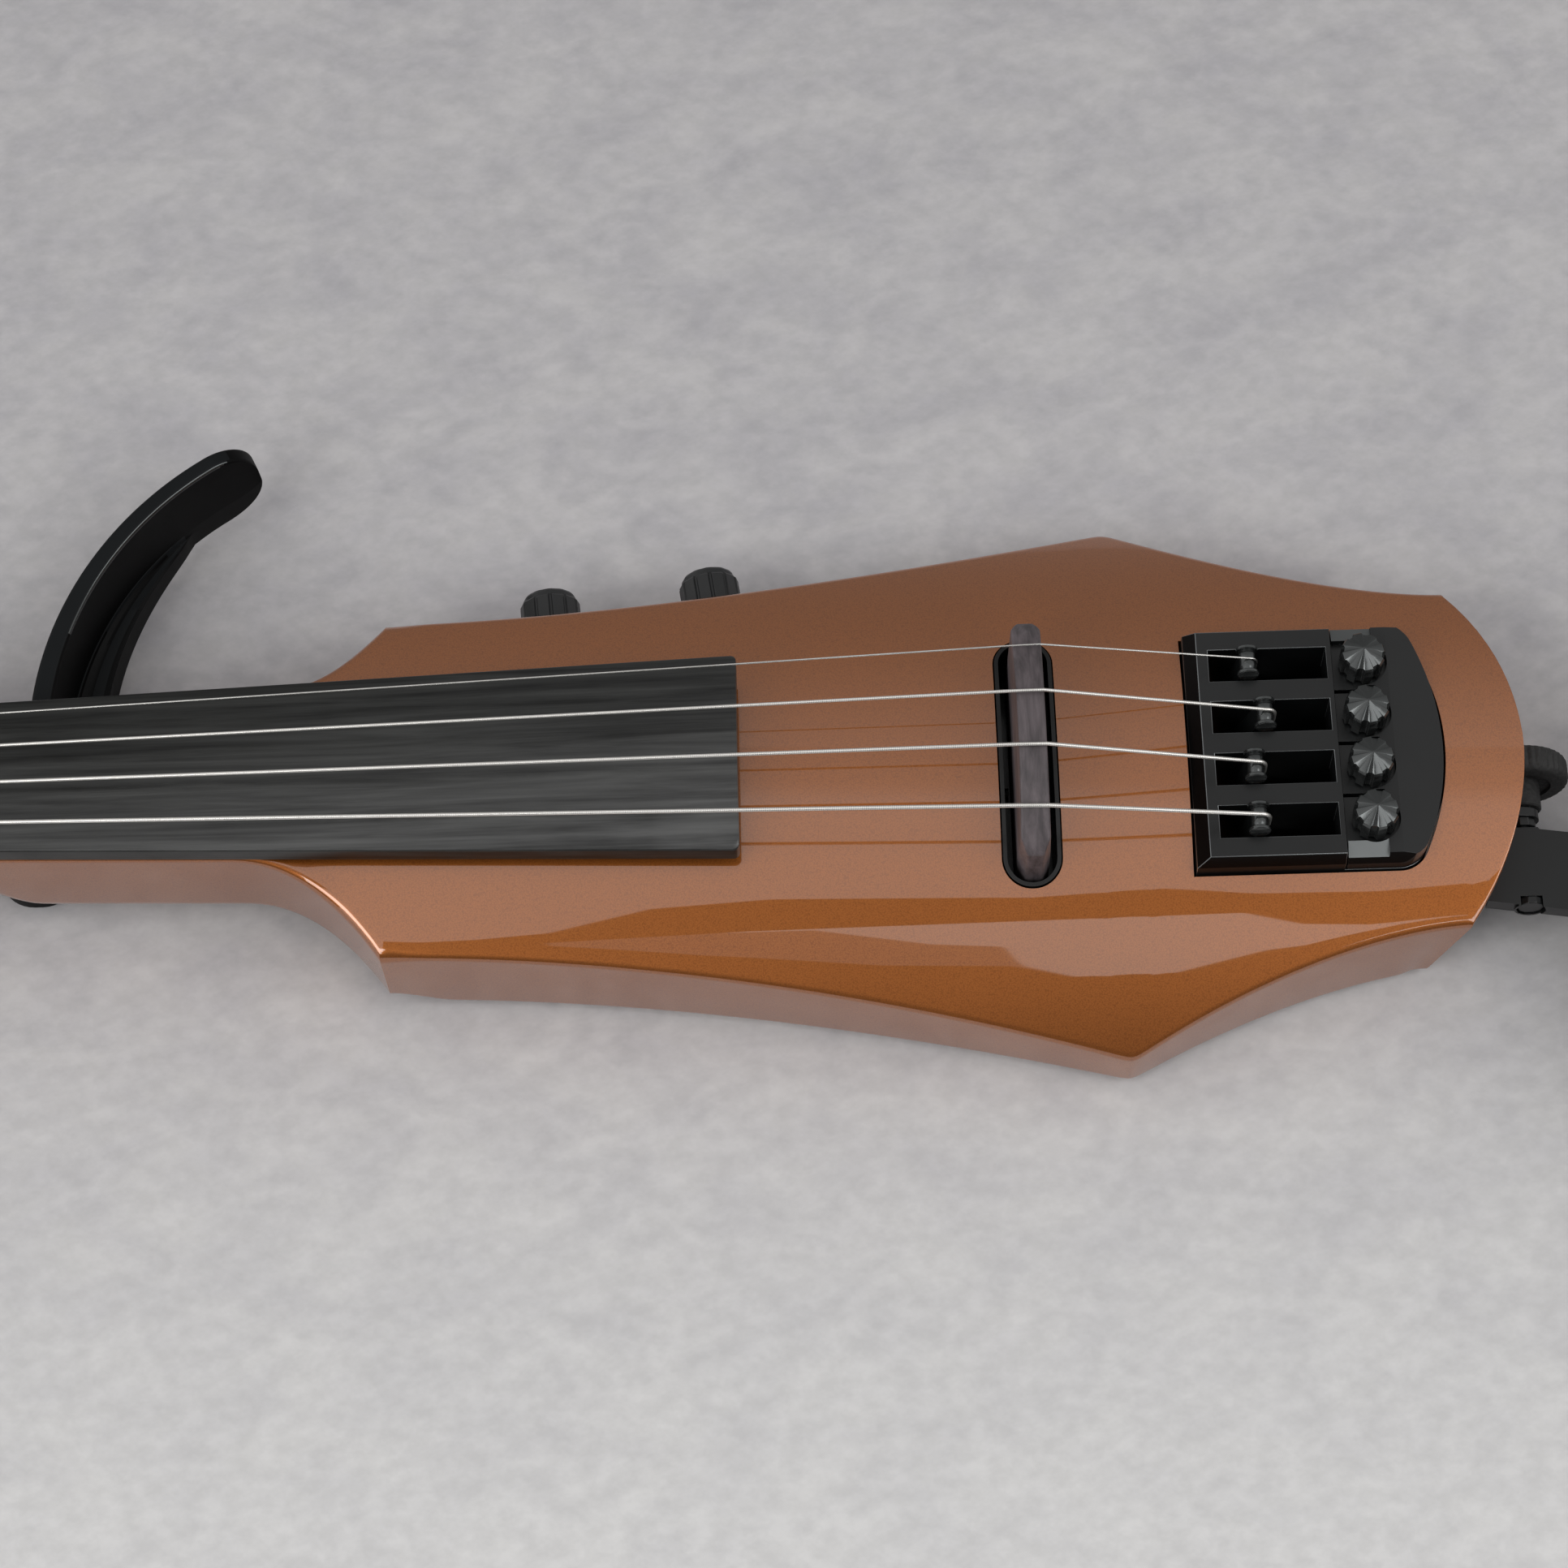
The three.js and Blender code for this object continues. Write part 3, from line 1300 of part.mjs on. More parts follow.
function makeThumbWheel() {
  const outline = (inset) => {
    const points = [];
    for (let i = 0; i < wheelTeeth * 2; i++) {
      const angle = (i / (wheelTeeth * 2)) * 2 * Math.PI;
      const reach = wheelRadius - inset - (i % 2) * wheelToothDepth;
      points.push([reach * Math.cos(angle), reach * Math.sin(angle)]);
    }
    return points;
  };
  const ring = (inset, y) => outline(inset).map(([x, z]) => new THREE.Vector3(hingeX + x, y, hingeZ + z));
  const rim = loft([
    ring(wheelRound, wheelTrebleY - wheelThick),
    ring(wheelRound * 0.3, wheelTrebleY - wheelThick + wheelRound * 0.3),
    ring(0, wheelTrebleY - wheelThick + wheelRound),
    ring(0, wheelTrebleY - wheelRound),
    ring(wheelRound * 0.3, wheelTrebleY - wheelRound * 0.3),
    ring(wheelRound, wheelTrebleY),
  ]);
  const hubEnd = wheelTrebleY - wheelThick - wheelHubLength;
  const hub = rodAcross(hingeX, hingeZ, wheelHubRadius, hubEnd, wheelTrebleY - wheelThick / 2, roundSteps);
  const bore = rodAcross(hingeX, hingeZ, hingePinRadius + seatGap / 2, hubEnd - overrun,
    wheelTrebleY - wheelThick / 2 + seatGap);
  const bassFace = wheelTrebleY - wheelThick;
  const dish = rodAcross(hingeX, hingeZ, wheelDishRadius, bassFace - overrun, bassFace + wheelDish,
    roundSteps);
  return cut(join(cut(rim, dish), hub), bore);
}

function barCentreY(x) {
  return (knuckleTrebleY + knuckleBassY) / 2 + (x - hingeX) * barHeading;
}

const barTopZ = hingeZ + barThick / 2;
const barFootZ = hingeZ - barThick / 2;

function makeSupportBar() {
  const half = (knuckleTrebleY - knuckleBassY) / 2;
  const startX = hingeX - barReach;
  const endX = hingeX + barLength;
  const points = [
    [startX, barCentreY(startX) + half],
    [startX, barCentreY(startX) - half],
  ];
  const steps = 7;
  for (let i = 0; i <= steps; i++) {
    const angle = mix(-Math.PI / 2, Math.PI / 2, i / steps);
    points.push([endX - half + half * Math.cos(angle), barCentreY(endX - half) + half * Math.sin(angle)]);
  }
  const plate = raised(polygon(points), barFootZ, barTopZ);
  const barrel = rodAcross(hingeX, hingeZ, knuckleRadius, knuckleBassY, knuckleTrebleY, roundSteps);
  const skin = block(startX - overrun, knuckleBassY - overrun, barTopZ, endX + overrun,
    knuckleTrebleY + overrun, barTopZ + knuckleRadius);
  const side = block(startX - overrun, knuckleTrebleY, barFootZ - knuckleRadius, hingeX + knuckleRadius,
    knuckleTrebleY + overrun * 2, barTopZ + overrun);
  const pinHole = rodAcross(hingeX, hingeZ, hingePinRadius + runGap / 2, knuckleBassY - overrun * 2,
    knuckleTrebleY + overrun);
  const headHole = rodAcross(hingeX, hingeZ, boltHeadRadius + runGap, knuckleBassY - overrun * 2,
    knuckleBassY + boltHead + seatGap);
  const postHoles = chinPostXs.map((x) =>
    rodUp(x, barCentreY(x), screwShank + seatGap, barFootZ - overrun, barTopZ + overrun));
  const swivelHole = rodUp(swivelX, barCentreY(swivelX), swivelRadius + runGap, barFootZ - overrun,
    barTopZ + overrun);
  return cut(join(plate, barrel), skin, side, pinHole, headHole, ...postHoles, swivelHole);
}

// Chin rest: an oval cup on two posts
const chinFootZ = chinRimZ - chinDish - chinThick;

function chinSurface(share, angle) {
  const lobe = 1 + 0.08 * Math.cos(2 * angle) - 0.06 * Math.sin(angle);
  const x = chinX + chinHalfX * share * lobe * Math.cos(angle);
  const y = chinY + chinHalfY * share * lobe * Math.sin(angle);
  return [x, y];
}

function makeChinRest() {
  const around = 24;
  const foot = chinFootZ;
  const ring = (share, z) => Array.from({ length: around }, (_, i) => {
    const angle = (i / around) * 2 * Math.PI;
    const [x, y] = chinSurface(share, angle);
    const lift = 1 + 0.2 * Math.cos(angle);
    return new THREE.Vector3(x, y, foot + (z - foot) * lift);
  });
  return loft([
    ring(0.66, foot),
    ring(0.86, foot + chinDish * 0.25),
    ring(0.96, foot + chinDish * 0.75),
    ring(1, chinRimZ - chinThick * 0.35),
    ring(0.97, chinRimZ),
    ring(0.9, chinRimZ - chinThick * 0.1),
    ring(0.7, chinRimZ - chinDish * 0.55),
    ring(0.4, chinRimZ - chinDish * 0.9),
    ring(0.1, chinRimZ - chinDish),
  ]);
}

function makeChinPost(x) {
  const y = barCentreY(x);
  const post = rodUp(x, y, chinPostRadius, barTopZ + seatGap, chinFootZ - seatGap, roundSteps);
  const bolt = rodUp(x, y, screwShank, barFootZ - seatGap * 2, barTopZ + overrun);
  const head = rodUp(x, y, screwHead, barFootZ - seatGap - screwHeadHeight, barFootZ - seatGap);
  return join(post, bolt, head);
}

// Shoulder rest: a bowed frame under the bar with a foam pad, turning on the swivel bolt
const frameTopZ = barFootZ - shoulderFrameDrop;
const frameFootZ = frameTopZ - shoulderFrameThick;

function bowedOutline(halfLength, halfWidthHere) {
  const steps = 14;
  const middleY = barCentreY(swivelX);
  const near = [];
  const far = [];
  for (let i = 0; i <= steps; i++) {
    const share = mix(-1, 1, i / steps);
    const x = swivelX - shoulderBow * share * share + shoulderBow * 0.15;
    const width = halfWidthHere * Math.sqrt(1 - 0.72 * Math.abs(share) ** 6);
    near.push([x - width, middleY + share * halfLength]);
    far.push([x + width, middleY + share * halfLength]);
  }
  return polygon([...far, ...near.reverse()]);
}

function makeShoulderFrame() {
  const frame = raised(bowedOutline(shoulderHalfLength, shoulderWidth * 0.4), frameFootZ, frameTopZ);
  return cut(frame, rodUp(swivelX, barCentreY(swivelX), swivelRadius + seatGap, frameFootZ - overrun,
    frameTopZ + overrun));
}

function makeShoulderPad() {
  const top = frameFootZ - seatGap;
  const outline = bowedOutline(shoulderHalfLength + rimRound, shoulderWidth / 2);
  const pad = raised(outline, top - shoulderPadThick, top);
  const room = rodUp(swivelX, barCentreY(swivelX), swivelHeadRadius + seatGap, top - swivelHead - seatGap * 2,
    top + overrun, roundSteps);
  return cut(pad, room);
}

function makeSwivelBolt() {
  const y = barCentreY(swivelX);
  const stem = rodUp(swivelX, y, swivelRadius, frameFootZ - seatGap * 2, barTopZ + seatGap + swivelHead / 2);
  const spacer = rodUp(swivelX, y, swivelHeadRadius, frameTopZ + seatGap, barFootZ - seatGap, roundSteps);
  const cap = rodUp(swivelX, y, swivelHeadRadius, barTopZ + seatGap, barTopZ + swivelHead, roundSteps);
  const head = rodUp(swivelX, y, swivelHeadRadius, frameFootZ - seatGap - swivelHead, frameFootZ - seatGap,
    roundSteps);
  return join(stem, spacer, cap, head);
}

// Assembly
addPart("body", makeBody(), finishes.copper());
addPart("fingerboard", makeFingerboard(), finishes.ebony());
addPart("nut", makeNut(), finishes.ebony());
addPart("neck_rod", makeNeckRod(), finishes.carbon());
addPart("bridge", makeBridge(), finishes.bridgeWood());
addPart("bridge_pickup", makePickup(), finishes.blackPlastic());
addPart("bridge_well_liner", makeWellLiner(), finishes.blackPlastic());
addPart("pickup_lead", makePickupLead(), finishes.blackPlastic());
addPart("string_head_plate", makeHeadPlate(), finishes.satinBlack());
addPart("tuner_block", makeTunerBlock(), finishes.satinBlack());
addPart("tuner_rear_cover", makeRearCover(), finishes.satinBlack());
addPart("lever_axle", makeAxle(), finishes.steel());
for (const name of stringNames) {
  addPart(`string_${name}`, makeString(name), finishes.steel());
  addPart(`tuner_lever_${name}`, makeLever(name), finishes.satinBlack());
  addPart(`tuner_traveller_${name}`, makeTraveller(name), finishes.brass());
  addPart(`tuner_screw_${name}`, makeTunerScrew(name), finishes.steel());
  addPart(`tuner_knob_${name}`, makeTunerKnob(name), finishes.satinBlack());
}
["volume", "tone"].forEach((name, i) => {
  addPart(`${name}_pot`, makePot(potXs[i]), finishes.steel());
  addPart(`${name}_shaft`, makePotShaft(potXs[i]), finishes.steel());
  addPart(`${name}_knob`, makeControlKnob(potXs[i]), finishes.blackPlastic());
});
addPart("output_jack", makeJack(), finishes.steel());
addPart("output_jack_nut", makeJackNut(), finishes.satinBlack());
addPart("circuit_board", makeCircuitBoard(), finishes.board());
addPart("cavity_cover", makeCavityCover(), finishes.blackPlastic());
coverScrews.forEach((place, i) =>
  addPart(`cavity_cover_screw_${i + 1}`, makeCoverScrew(place), finishes.steel()));
addPart("position_arm", makePositionArm(), finishes.satinBlack());
armScrews.forEach((place, i) =>
  addPart(`position_arm_screw_${i + 1}`, makeArmScrew(place), finishes.steel()));
addPart("rest_bracket", makeBracket(), finishes.satinBlack());
bracketScrewYs.forEach((y, i) =>
  addPart(`rest_bracket_screw_${i + 1}`, makeBracketScrew(y), finishes.steel()));
addPart("rest_hinge_pin", makeHingePin(), finishes.steel());
addPart("rest_thumb_wheel", makeThumbWheel(), finishes.rubber());
addPart("rest_bar", makeSupportBar(), finishes.satinBlack());
chinPostXs.forEach((x, i) =>
  addPart(`chin_rest_post_${i + 1}`, makeChinPost(x), finishes.satinBlack()));
addPart("chin_rest", makeChinRest(), finishes.blackPlastic());
addPart("shoulder_frame", makeShoulderFrame(), finishes.satinBlack());
addPart("shoulder_pad", makeShoulderPad(), finishes.foam());
addPart("shoulder_swivel_bolt", makeSwivelBolt(), finishes.steel());

// The origin is the middle of the underside of the whole violin's box
violin.updateMatrixWorld(true);
const box = new THREE.Box3().setFromObject(violin, true);
const middle = box.getCenter(new THREE.Vector3());
violin.position.set(-middle.x, -middle.y, -box.min.z);

export default violin;
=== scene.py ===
"""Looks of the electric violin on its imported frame, as an add-on with one operator for each piece."""

import math

import bmesh
import bpy
from mathutils import Matrix, Vector


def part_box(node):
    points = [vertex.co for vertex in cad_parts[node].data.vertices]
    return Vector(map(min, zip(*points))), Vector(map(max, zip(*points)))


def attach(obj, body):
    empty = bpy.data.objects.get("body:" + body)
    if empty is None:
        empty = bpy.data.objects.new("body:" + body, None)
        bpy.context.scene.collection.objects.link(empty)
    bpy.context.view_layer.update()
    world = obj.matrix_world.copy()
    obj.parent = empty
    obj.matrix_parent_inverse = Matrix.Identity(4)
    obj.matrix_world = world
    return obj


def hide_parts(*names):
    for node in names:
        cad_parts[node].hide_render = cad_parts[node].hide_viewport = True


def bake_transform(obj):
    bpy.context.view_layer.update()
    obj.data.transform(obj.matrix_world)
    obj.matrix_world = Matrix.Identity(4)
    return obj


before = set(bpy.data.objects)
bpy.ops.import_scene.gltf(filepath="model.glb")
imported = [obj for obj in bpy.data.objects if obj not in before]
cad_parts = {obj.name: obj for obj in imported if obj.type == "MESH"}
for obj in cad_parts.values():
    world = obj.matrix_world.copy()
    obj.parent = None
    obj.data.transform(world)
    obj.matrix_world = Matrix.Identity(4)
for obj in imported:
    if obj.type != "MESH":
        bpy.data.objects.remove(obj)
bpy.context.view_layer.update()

bl_info = {
    "name": "Electric violin looks",
    "version": (1, 0, 0),
    "blender": (4, 5, 0),
    "location": "View3D > Sidebar > Violin",
    "description": "Builds the lacquered body, fittings and stage of an electric violin",
    "category": "Object",
}

# Millimetres in the violin's own frame: X to the tail, Y to the treble side, Z up,
# zero under the string contact on the bridge and at the edge of the top.
MM = 0.001
SEAT = 0.3
OVERRUN = 5.0

# Strings, nut, fingerboard and the rod under it
STRINGS = ("e", "a", "d", "g")
PLACES = {"e": 1.5, "a": 0.5, "d": -0.5, "g": -1.5}
STRING_RADIUS = {"e": 0.19, "a": 0.33, "d": 0.38, "g": 0.42}
NUT_X = -328.0
NUT_LENGTH = 5.0
NUT_SPACING = 5.6
BRIDGE_SPACING = 11.45
POST_SPACING = 11.2
NUT_STRING_Z = 13.4
BRIDGE_STRING_Z = 25.4
BRIDGE_TOP_THICK = 5.4
CROWN_RADIUS = 40.0
BOARD_RADIUS = 42.0
BOARD_END_X = -59.8
BOARD_END_HALF = 21.0
BOARD_NUT_HALF = 12.0
BOARD_SIDE = 4.1
BOARD_EDGE = 0.5
BOARD_CORNER = 1.3
ROD_FRONT_X = NUT_X + 10.0
ROD_REAR_X = -140.0
ROD_HALF = 2.4
ROD_ROOM_FLOOR_Z = -0.5

# Body, neck and head
SHOULDER_X = -131.0
WING_X = 16.0
TAIL_END_X = 95.0
SHOULDER_HALF = 36.5
WING_HALF = 58.0
WING_BLEND = 28.0
WING_SOFTNESS = 0.55
TAIL_CORNER_HALF = 36.2
TAIL_RADIUS = 60.0
TAIL_LAST_SHARE = 0.06
SIDE_POWER = 1.74
TAIL_POWER = 1.66
SCOOP_POWER = 2.3
SCOOP_X = -160.0
NECK_NUT_HALF = 12.2
NECK_SCOOP_HALF = 17.7
TOP_RADIUS = 100.0
TOP_RISE = 6.85
BACK_Z = -26.0
SHOULDER_BACK_Z = -22.0
BACK_FLAT_X = -118.0
RIM_ROUND = 1.3
RIM_SHOULDER_GAIN = 0.8
BACK_ROUND = 4.0
LEAN_SHARE = 0.28
LEAN_LENGTH = 14.0
GLUE_NUT_Z = 6.4
GLUE_END_Z = 8.3
SHAFT_BACK_Z = -7.6
HEEL_BACK_Z = -20.0
HEEL_X = -201.0
HEEL_RUN = 26.0
HEEL_ROUND = 6.0
HEAD_LENGTH = 56.0
HEAD_END_X = NUT_X - HEAD_LENGTH
HEAD_HALF = 14.5
HEAD_ROUND_START = 0.6
HEAD_DROP = 5.4
HEAD_BACK_Z = -12.0

# Bridge well and its liner
WELL_X = -2.7
WELL_WIDTH = 11.4
WELL_LENGTH = 53.2
WELL_FLOOR_Z = -13.0
LINER_WALL = 0.8
LINER_LIP = 0.25
LEAD_WAY_RADIUS = 1.2
LEAD_WAY_Z = -11.4

# Tuner block, its rear cover and the pocket that holds them
POCKET_GAP = 0.5
BLOCK_FRONT_X = 29.2
BLOCK_HALF = 25.1
BLOCK_REAR_X = 79.0
BLOCK_REAR_RADIUS = 52.0
BLOCK_CORNER = 6.0
BLOCK_FLOOR_Z = -16.5
DECK_Z = 9.9
DECK_BEVEL = 2.4
DECK_BEVEL_DROP = 3.4
SIDE_BEVEL = 0.9
SEAM_X = 58.2
SLOT_FRONT_X = 33.8
SLOT_REAR_X = 57.2
SLOT_WIDTH = 6.8
BAY_REAR_X = 71.0
BAY_ROOF_Z = 1.0
SCREW_WAY_RADIUS = 1.85
COVER_SEAT_Z = 3.6
COVER_TAIL_Z = 7.2
CHANNEL_FLOOR_Z = 8.0
CHANNEL_REAR_X = 69.2
CHANNEL_GAP = 0.35
SLIT_WIDTH = 0.8
SLIT_END_X = 66.4
SLIT_FLOOR_RISE = 0.6
WEDGE_DROP = 1.8

# Places outside the tuner block, where its cutters start and end
CLEAR_FRONT_X = 20.0
CLEAR_REAR_X = 90.0
CLEAR_HALF = 30.0
CLEAR_FOOT_Z = -25.0
CLEAR_TOP_Z = 20.0
CLEAR_DECK = 3.0

# Levers with their string posts, and tuner knobs
AXLE_X = 41.4
AXLE_Z = -8.0
POST_RISE = 19.2
POST_RADIUS = 1.5
TILT_A = math.radians(8)
KNOB_X = 64.0
KNOB_RADIUS = 4.4
KNOB_RISE = 0.4
KNOB_SIDE = 5.6
KNOB_FLUTES = 8
KNOB_BORE_RADIUS = 1.65
KNOB_BORE_DEPTH = 3.1
KNOB_ROOM = 0.7

# Side controls, output jack and cavity
CONTROL_Z = -12.0
CONTROL_RADIUS = 6.2
CONTROL_RIBS = 12
CONTROL_STAND_OFF = 1.0
CONTROL_BORE_RADIUS = 2.55
CONTROL_BORE_DEPTH = 6.6
POT_XS = (-97.9, -64.7)
POT_BUSH_RADIUS = 3.5
POT_ROOM_Y = 20.0
JACK_X = -34.0
JACK_Z = -15.5
JACK_RADIUS = 5.6
JACK_SEAT = 3.2
JACK_SEAT_RADIUS = 8.2
JACK_ROOM_Y = 10.0
CAVITY_FRONT_X = -108.0
CAVITY_REAR_X = -22.0
CAVITY_BASS_Y = -14.0
CAVITY_FRONT_Y = 29.6
CAVITY_REAR_Y = 41.0
CAVITY_ROOF_Z = -3.5
COVER_LIP = 3.4
COVER_RECESS = 2.1

# Position arm: places round its centre are in degrees
ARM_BASE = (-201.113561, 2.736719)
ARM_RADIUS = 72.0
ARM_BASE_ANGLE = 189.0
ARM_FLANGE_ANGLE = 131.0
ARM_ROUND_ANGLE = 122.7
ARM_TIP_ANGLE = 114.5
ARM_LAST_ANGLE = 114.9
# End of the painted highlight along the arm's inner edge
ARM_PAINTED_SHINE_ANGLE = 162.0
ARM_CENTRE = (ARM_BASE[0] - ARM_RADIUS * math.cos(math.radians(ARM_BASE_ANGLE)),
              ARM_BASE[1] - ARM_RADIUS * math.sin(math.radians(ARM_BASE_ANGLE)))
ARM_TOP_Z = 3.0
ARM_CREASE_Z = -12.0
ARM_TIP_FOOT_Z = -19.0
ARM_FOOT_Z = -24.0
ARM_TOP_THICK = 4.4
ARM_TIP_THICK = 3.4
ARM_DRAFT = 1.0
ARM_FLANGE_WIDTH = 8.0
ARM_EDGE = 0.9
ARM_PAD_X = -203.5
ARM_PAD_HALF = 8.0
ARM_PAD_BASS_Y = -13.5
ARM_PAD_TREBLE_Y = 20.0
ARM_PAD_CORNER = 7.2
ARM_SCREW_YS = (-6.75, 10)
ARM_SCREW_HOLE = 1.4

# Rest hinge with its bracket and thumb wheel, and what hangs on the bar
HINGE_X = 96.1
HINGE_Z = -10.0
WHEEL_RADIUS = 10.0
WHEEL_TREBLE_Y = 2.6
WHEEL_THICK = 5.6
WHEEL_BASS_Y = WHEEL_TREBLE_Y - WHEEL_THICK
WHEEL_TEETH = 40
WHEEL_TOOTH = 0.3
WHEEL_ROOM = 0.6
HUB_RADIUS = 4.1
HUB_LENGTH = 5.1
DISH_RADIUS = 6.4
DISH_DEPTH = 0.8
PIN_BORE_RADIUS = 1.95
EAR_TREBLE_Y = -8.4
BRACKET_LOW = (80.0, -29.6, -22.6)
BRACKET_TREBLE_Y = -5.6
BRACKET_TOP_Z = -4.0
KNUCKLE_TREBLE_Y = -12.3
KNUCKLE_BASS_Y = -29.1
BAR_THICK = 3.8
BAR_HEADING = -0.148
BAR_FOOT_Z = HINGE_Z - BAR_THICK / 2
SWIVEL_X = 162.5
SWIVEL_FLANGE = 2.4
CHIN_X = 150.0
CHIN_Y = -38.0
CHIN_HALF_LENGTH = 27.95
CHIN_HALF_WIDTH = 49.0
CHIN_FOOT_Z = 2.0
SHOULDER_FRAME_THICK = 2.6
PAD_REACH = 78.9
PAD_HALF_WIDTH = 12.0
PAD_THICK = 7.4
PAD_BOW = 14.0
PAD_FORWARD = 2.1
PAD_ROOM_RADIUS = 5.3
PAD_ROOM_DEPTH = 3.2

# Camera of the photograph, in pixels of its frame and in the violin's own frame
PHOTO_PIXELS = 1932
FOCAL_PIXELS = 4994.86
CAMERA_SENSOR = 36
CAMERA_PLACE = (-41.9, -326.0, 737.9)
CAMERA_RIGHT = Vector((0.9994842625649822, -0.022973936853711633, -0.022436735733503528))
CAMERA_DOWN = Vector((-0.030059175093486566, -0.9151605366240634, -0.40196721035260496))
CAMERA_AHEAD = Vector((-0.011298445806062022, 0.40243433058251615, -0.9153791316667479))


def tail_x(half):
    """Place of the round tail at a half width."""
    return TAIL_END_X - TAIL_RADIUS + math.sqrt(TAIL_RADIUS**2 - half**2)


TAIL_CORNER_X = tail_x(TAIL_CORNER_HALF)
BODY_LOW, BODY_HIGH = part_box("body")
SHIFT = Vector((BODY_HIGH.x - tail_x(TAIL_CORNER_HALF * TAIL_LAST_SHARE) * MM,
                (BODY_LOW.y + BODY_HIGH.y) / 2, BODY_LOW.z - BACK_Z * MM))


def at(x, y, z):
    """A point of the violin's own frame, in the row frame in metres."""
    return SHIFT + Vector((x, y, z)) * MM


# Settings that a user would change
class ViolinBodySettings(bpy.types.PropertyGroup):
    lacquer: bpy.props.FloatVectorProperty(
        name="Lacquer", description="Colour of the copper flake under the clear coat",
        subtype="COLOR", size=3, min=0, max=1, default=(0.41, 0.125, 0.019))
    lacquer_shade: bpy.props.FloatVectorProperty(
        name="Lacquer shade", description="Colour between the flakes",
        subtype="COLOR", size=3, min=0, max=1, default=(0.27, 0.078, 0.01))
    rim: bpy.props.FloatProperty(
        name="Rim rounding", description="Radius of the rounded edge of the top",
        unit="LENGTH", default=RIM_ROUND * MM, min=0.0002, max=0.004)


class ViolinFittingSettings(bpy.types.PropertyGroup):
    coating: bpy.props.FloatVectorProperty(
        name="Coating", description="Colour of the satin black metal",
        subtype="COLOR", size=3, min=0, max=1, default=(0.0035, 0.004, 0.0042))
    bevel: bpy.props.FloatProperty(
        name="Bevel", description="Width of the broken edges of the metal fittings",
        unit="LENGTH", default=0.0003, min=0, max=0.002)
    string_radius_share: bpy.props.FloatProperty(
        name="String gauge", description="Share of the standard string radius",
        default=1.0, min=0.5, max=1.5)


class ViolinWoodSettings(bpy.types.PropertyGroup):
    board: bpy.props.FloatVectorProperty(
        name="Fingerboard", description="Colour of the dark fingerboard wood",
        subtype="COLOR", size=3, min=0, max=1, default=(0.0055, 0.006, 0.0052))
    bridge: bpy.props.FloatVectorProperty(
        name="Bridge", description="Colour of the stained bridge wood",
        subtype="COLOR", size=3, min=0, max=1, default=(0.068, 0.056, 0.06))


class ViolinStageSettings(bpy.types.PropertyGroup):
    floor: bpy.props.FloatVectorProperty(
        name="Floor", description="Colour of the pale floor",
        subtype="COLOR", size=3, min=0, max=1, default=(0.62, 0.615, 0.61))
    lamp_power: bpy.props.FloatProperty(
        name="Lamp power", description="Power of each soft lamp, before its own share",
        subtype="POWER", default=13.5, min=0, max=100)
    ceiling: bpy.props.FloatProperty(
        name="Ceiling", description="Brightness of the pale ceiling that the lacquer mirrors",
        default=0.78, min=0, max=5)


# Meshes built from points in the violin's own frame
def new_object(name, mesh):
    piece = bpy.data.objects.new(name, mesh)
    bpy.context.scene.collection.objects.link(piece)
    return piece


def from_faces(name, points, faces):
    mesh = bpy.data.meshes.new(name)
    mesh.from_pydata([at(*p) for p in points], [], faces)
    shape = bmesh.new()
    shape.from_mesh(mesh)
    bmesh.ops.recalc_face_normals(shape, faces=shape.faces)
    shape.to_mesh(mesh)
    shape.free()
    return new_object(name, mesh)


def loft(name, rings):
    """A closed solid through rings of equal length."""
    count = len(rings[0])
    points = [p for ring in rings for p in ring]
    faces = [tuple(range(count)), tuple(range(len(points) - count, len(points)))]
    for r in range(len(rings) - 1):
        for i in range(count):
            j = (i + 1) % count
            faces.append((r * count + i, r * count + j, (r + 1) * count + j, (r + 1) * count + i))
    return from_faces(name, points, faces)


def turned(name, profile, axis, centre, steps=48):
    """A turned piece from (radius, place along the axis) pairs; a zero radius closes the end."""
    order = {"X": (1, 2, 0), "Y": (0, 2, 1), "Z": (0, 1, 2)}[axis]
    rings = []
    for radius, place in profile:
        ring = []
        for i in range(steps):
            angle = 2 * math.pi * i / steps
            point = [0.0, 0.0, 0.0]
            point[order[0]] = centre[order[0]] + max(radius, 0.001) * math.cos(angle)
            point[order[1]] = centre[order[1]] + max(radius, 0.001) * math.sin(angle)
            point[order[2]] = place
            ring.append(tuple(point))
        rings.append(ring)
    return loft(name, rings)


def prism(name, outline, axis, low, high):
    """An outline in the plane square to the axis, between two places along it."""
    def put(u, v, w):
        return {"X": (w, u, v), "Y": (u, w, v), "Z": (u, v, w)}[axis]
    return loft(name, [[put(u, v, low) for u, v in outline], [put(u, v, high) for u, v in outline]])


def disc(u, v, radius, steps=40):
    turns = [2 * math.pi * i / steps for i in range(steps)]
    return [(u + radius * math.cos(turn), v + radius * math.sin(turn)) for turn in turns]


def rod(name, axis, u, v, radius, low, high, steps=40):
    return prism(name, disc(u, v, radius, steps), axis, low, high)


def box(name, low, high):
    outline = [(low[0], low[1]), (high[0], low[1]), (high[0], high[1]), (low[0], high[1])]
    return prism(name, outline, "Z", low[2], high[2])


def rounded(x0, y0, x1, y1, radius, steps=8):
    corners = [(x1 - radius, y1 - radius, 0), (x0 + radius, y1 - radius, 1),
               (x0 + radius, y0 + radius, 2), (x1 - radius, y0 + radius, 3)]
    return [(cx + radius * math.cos((quarter + i / steps) * math.pi / 2),
             cy + radius * math.sin((quarter + i / steps) * math.pi / 2))
            for cx, cy, quarter in corners for i in range(steps + 1)]


def mirrored(profile):
    """Both halves of a turned profile, from the half that ends at its middle."""
    return [(radius, -place) for radius, place in profile] + [
        (radius, place) for radius, place in reversed(profile) if place]


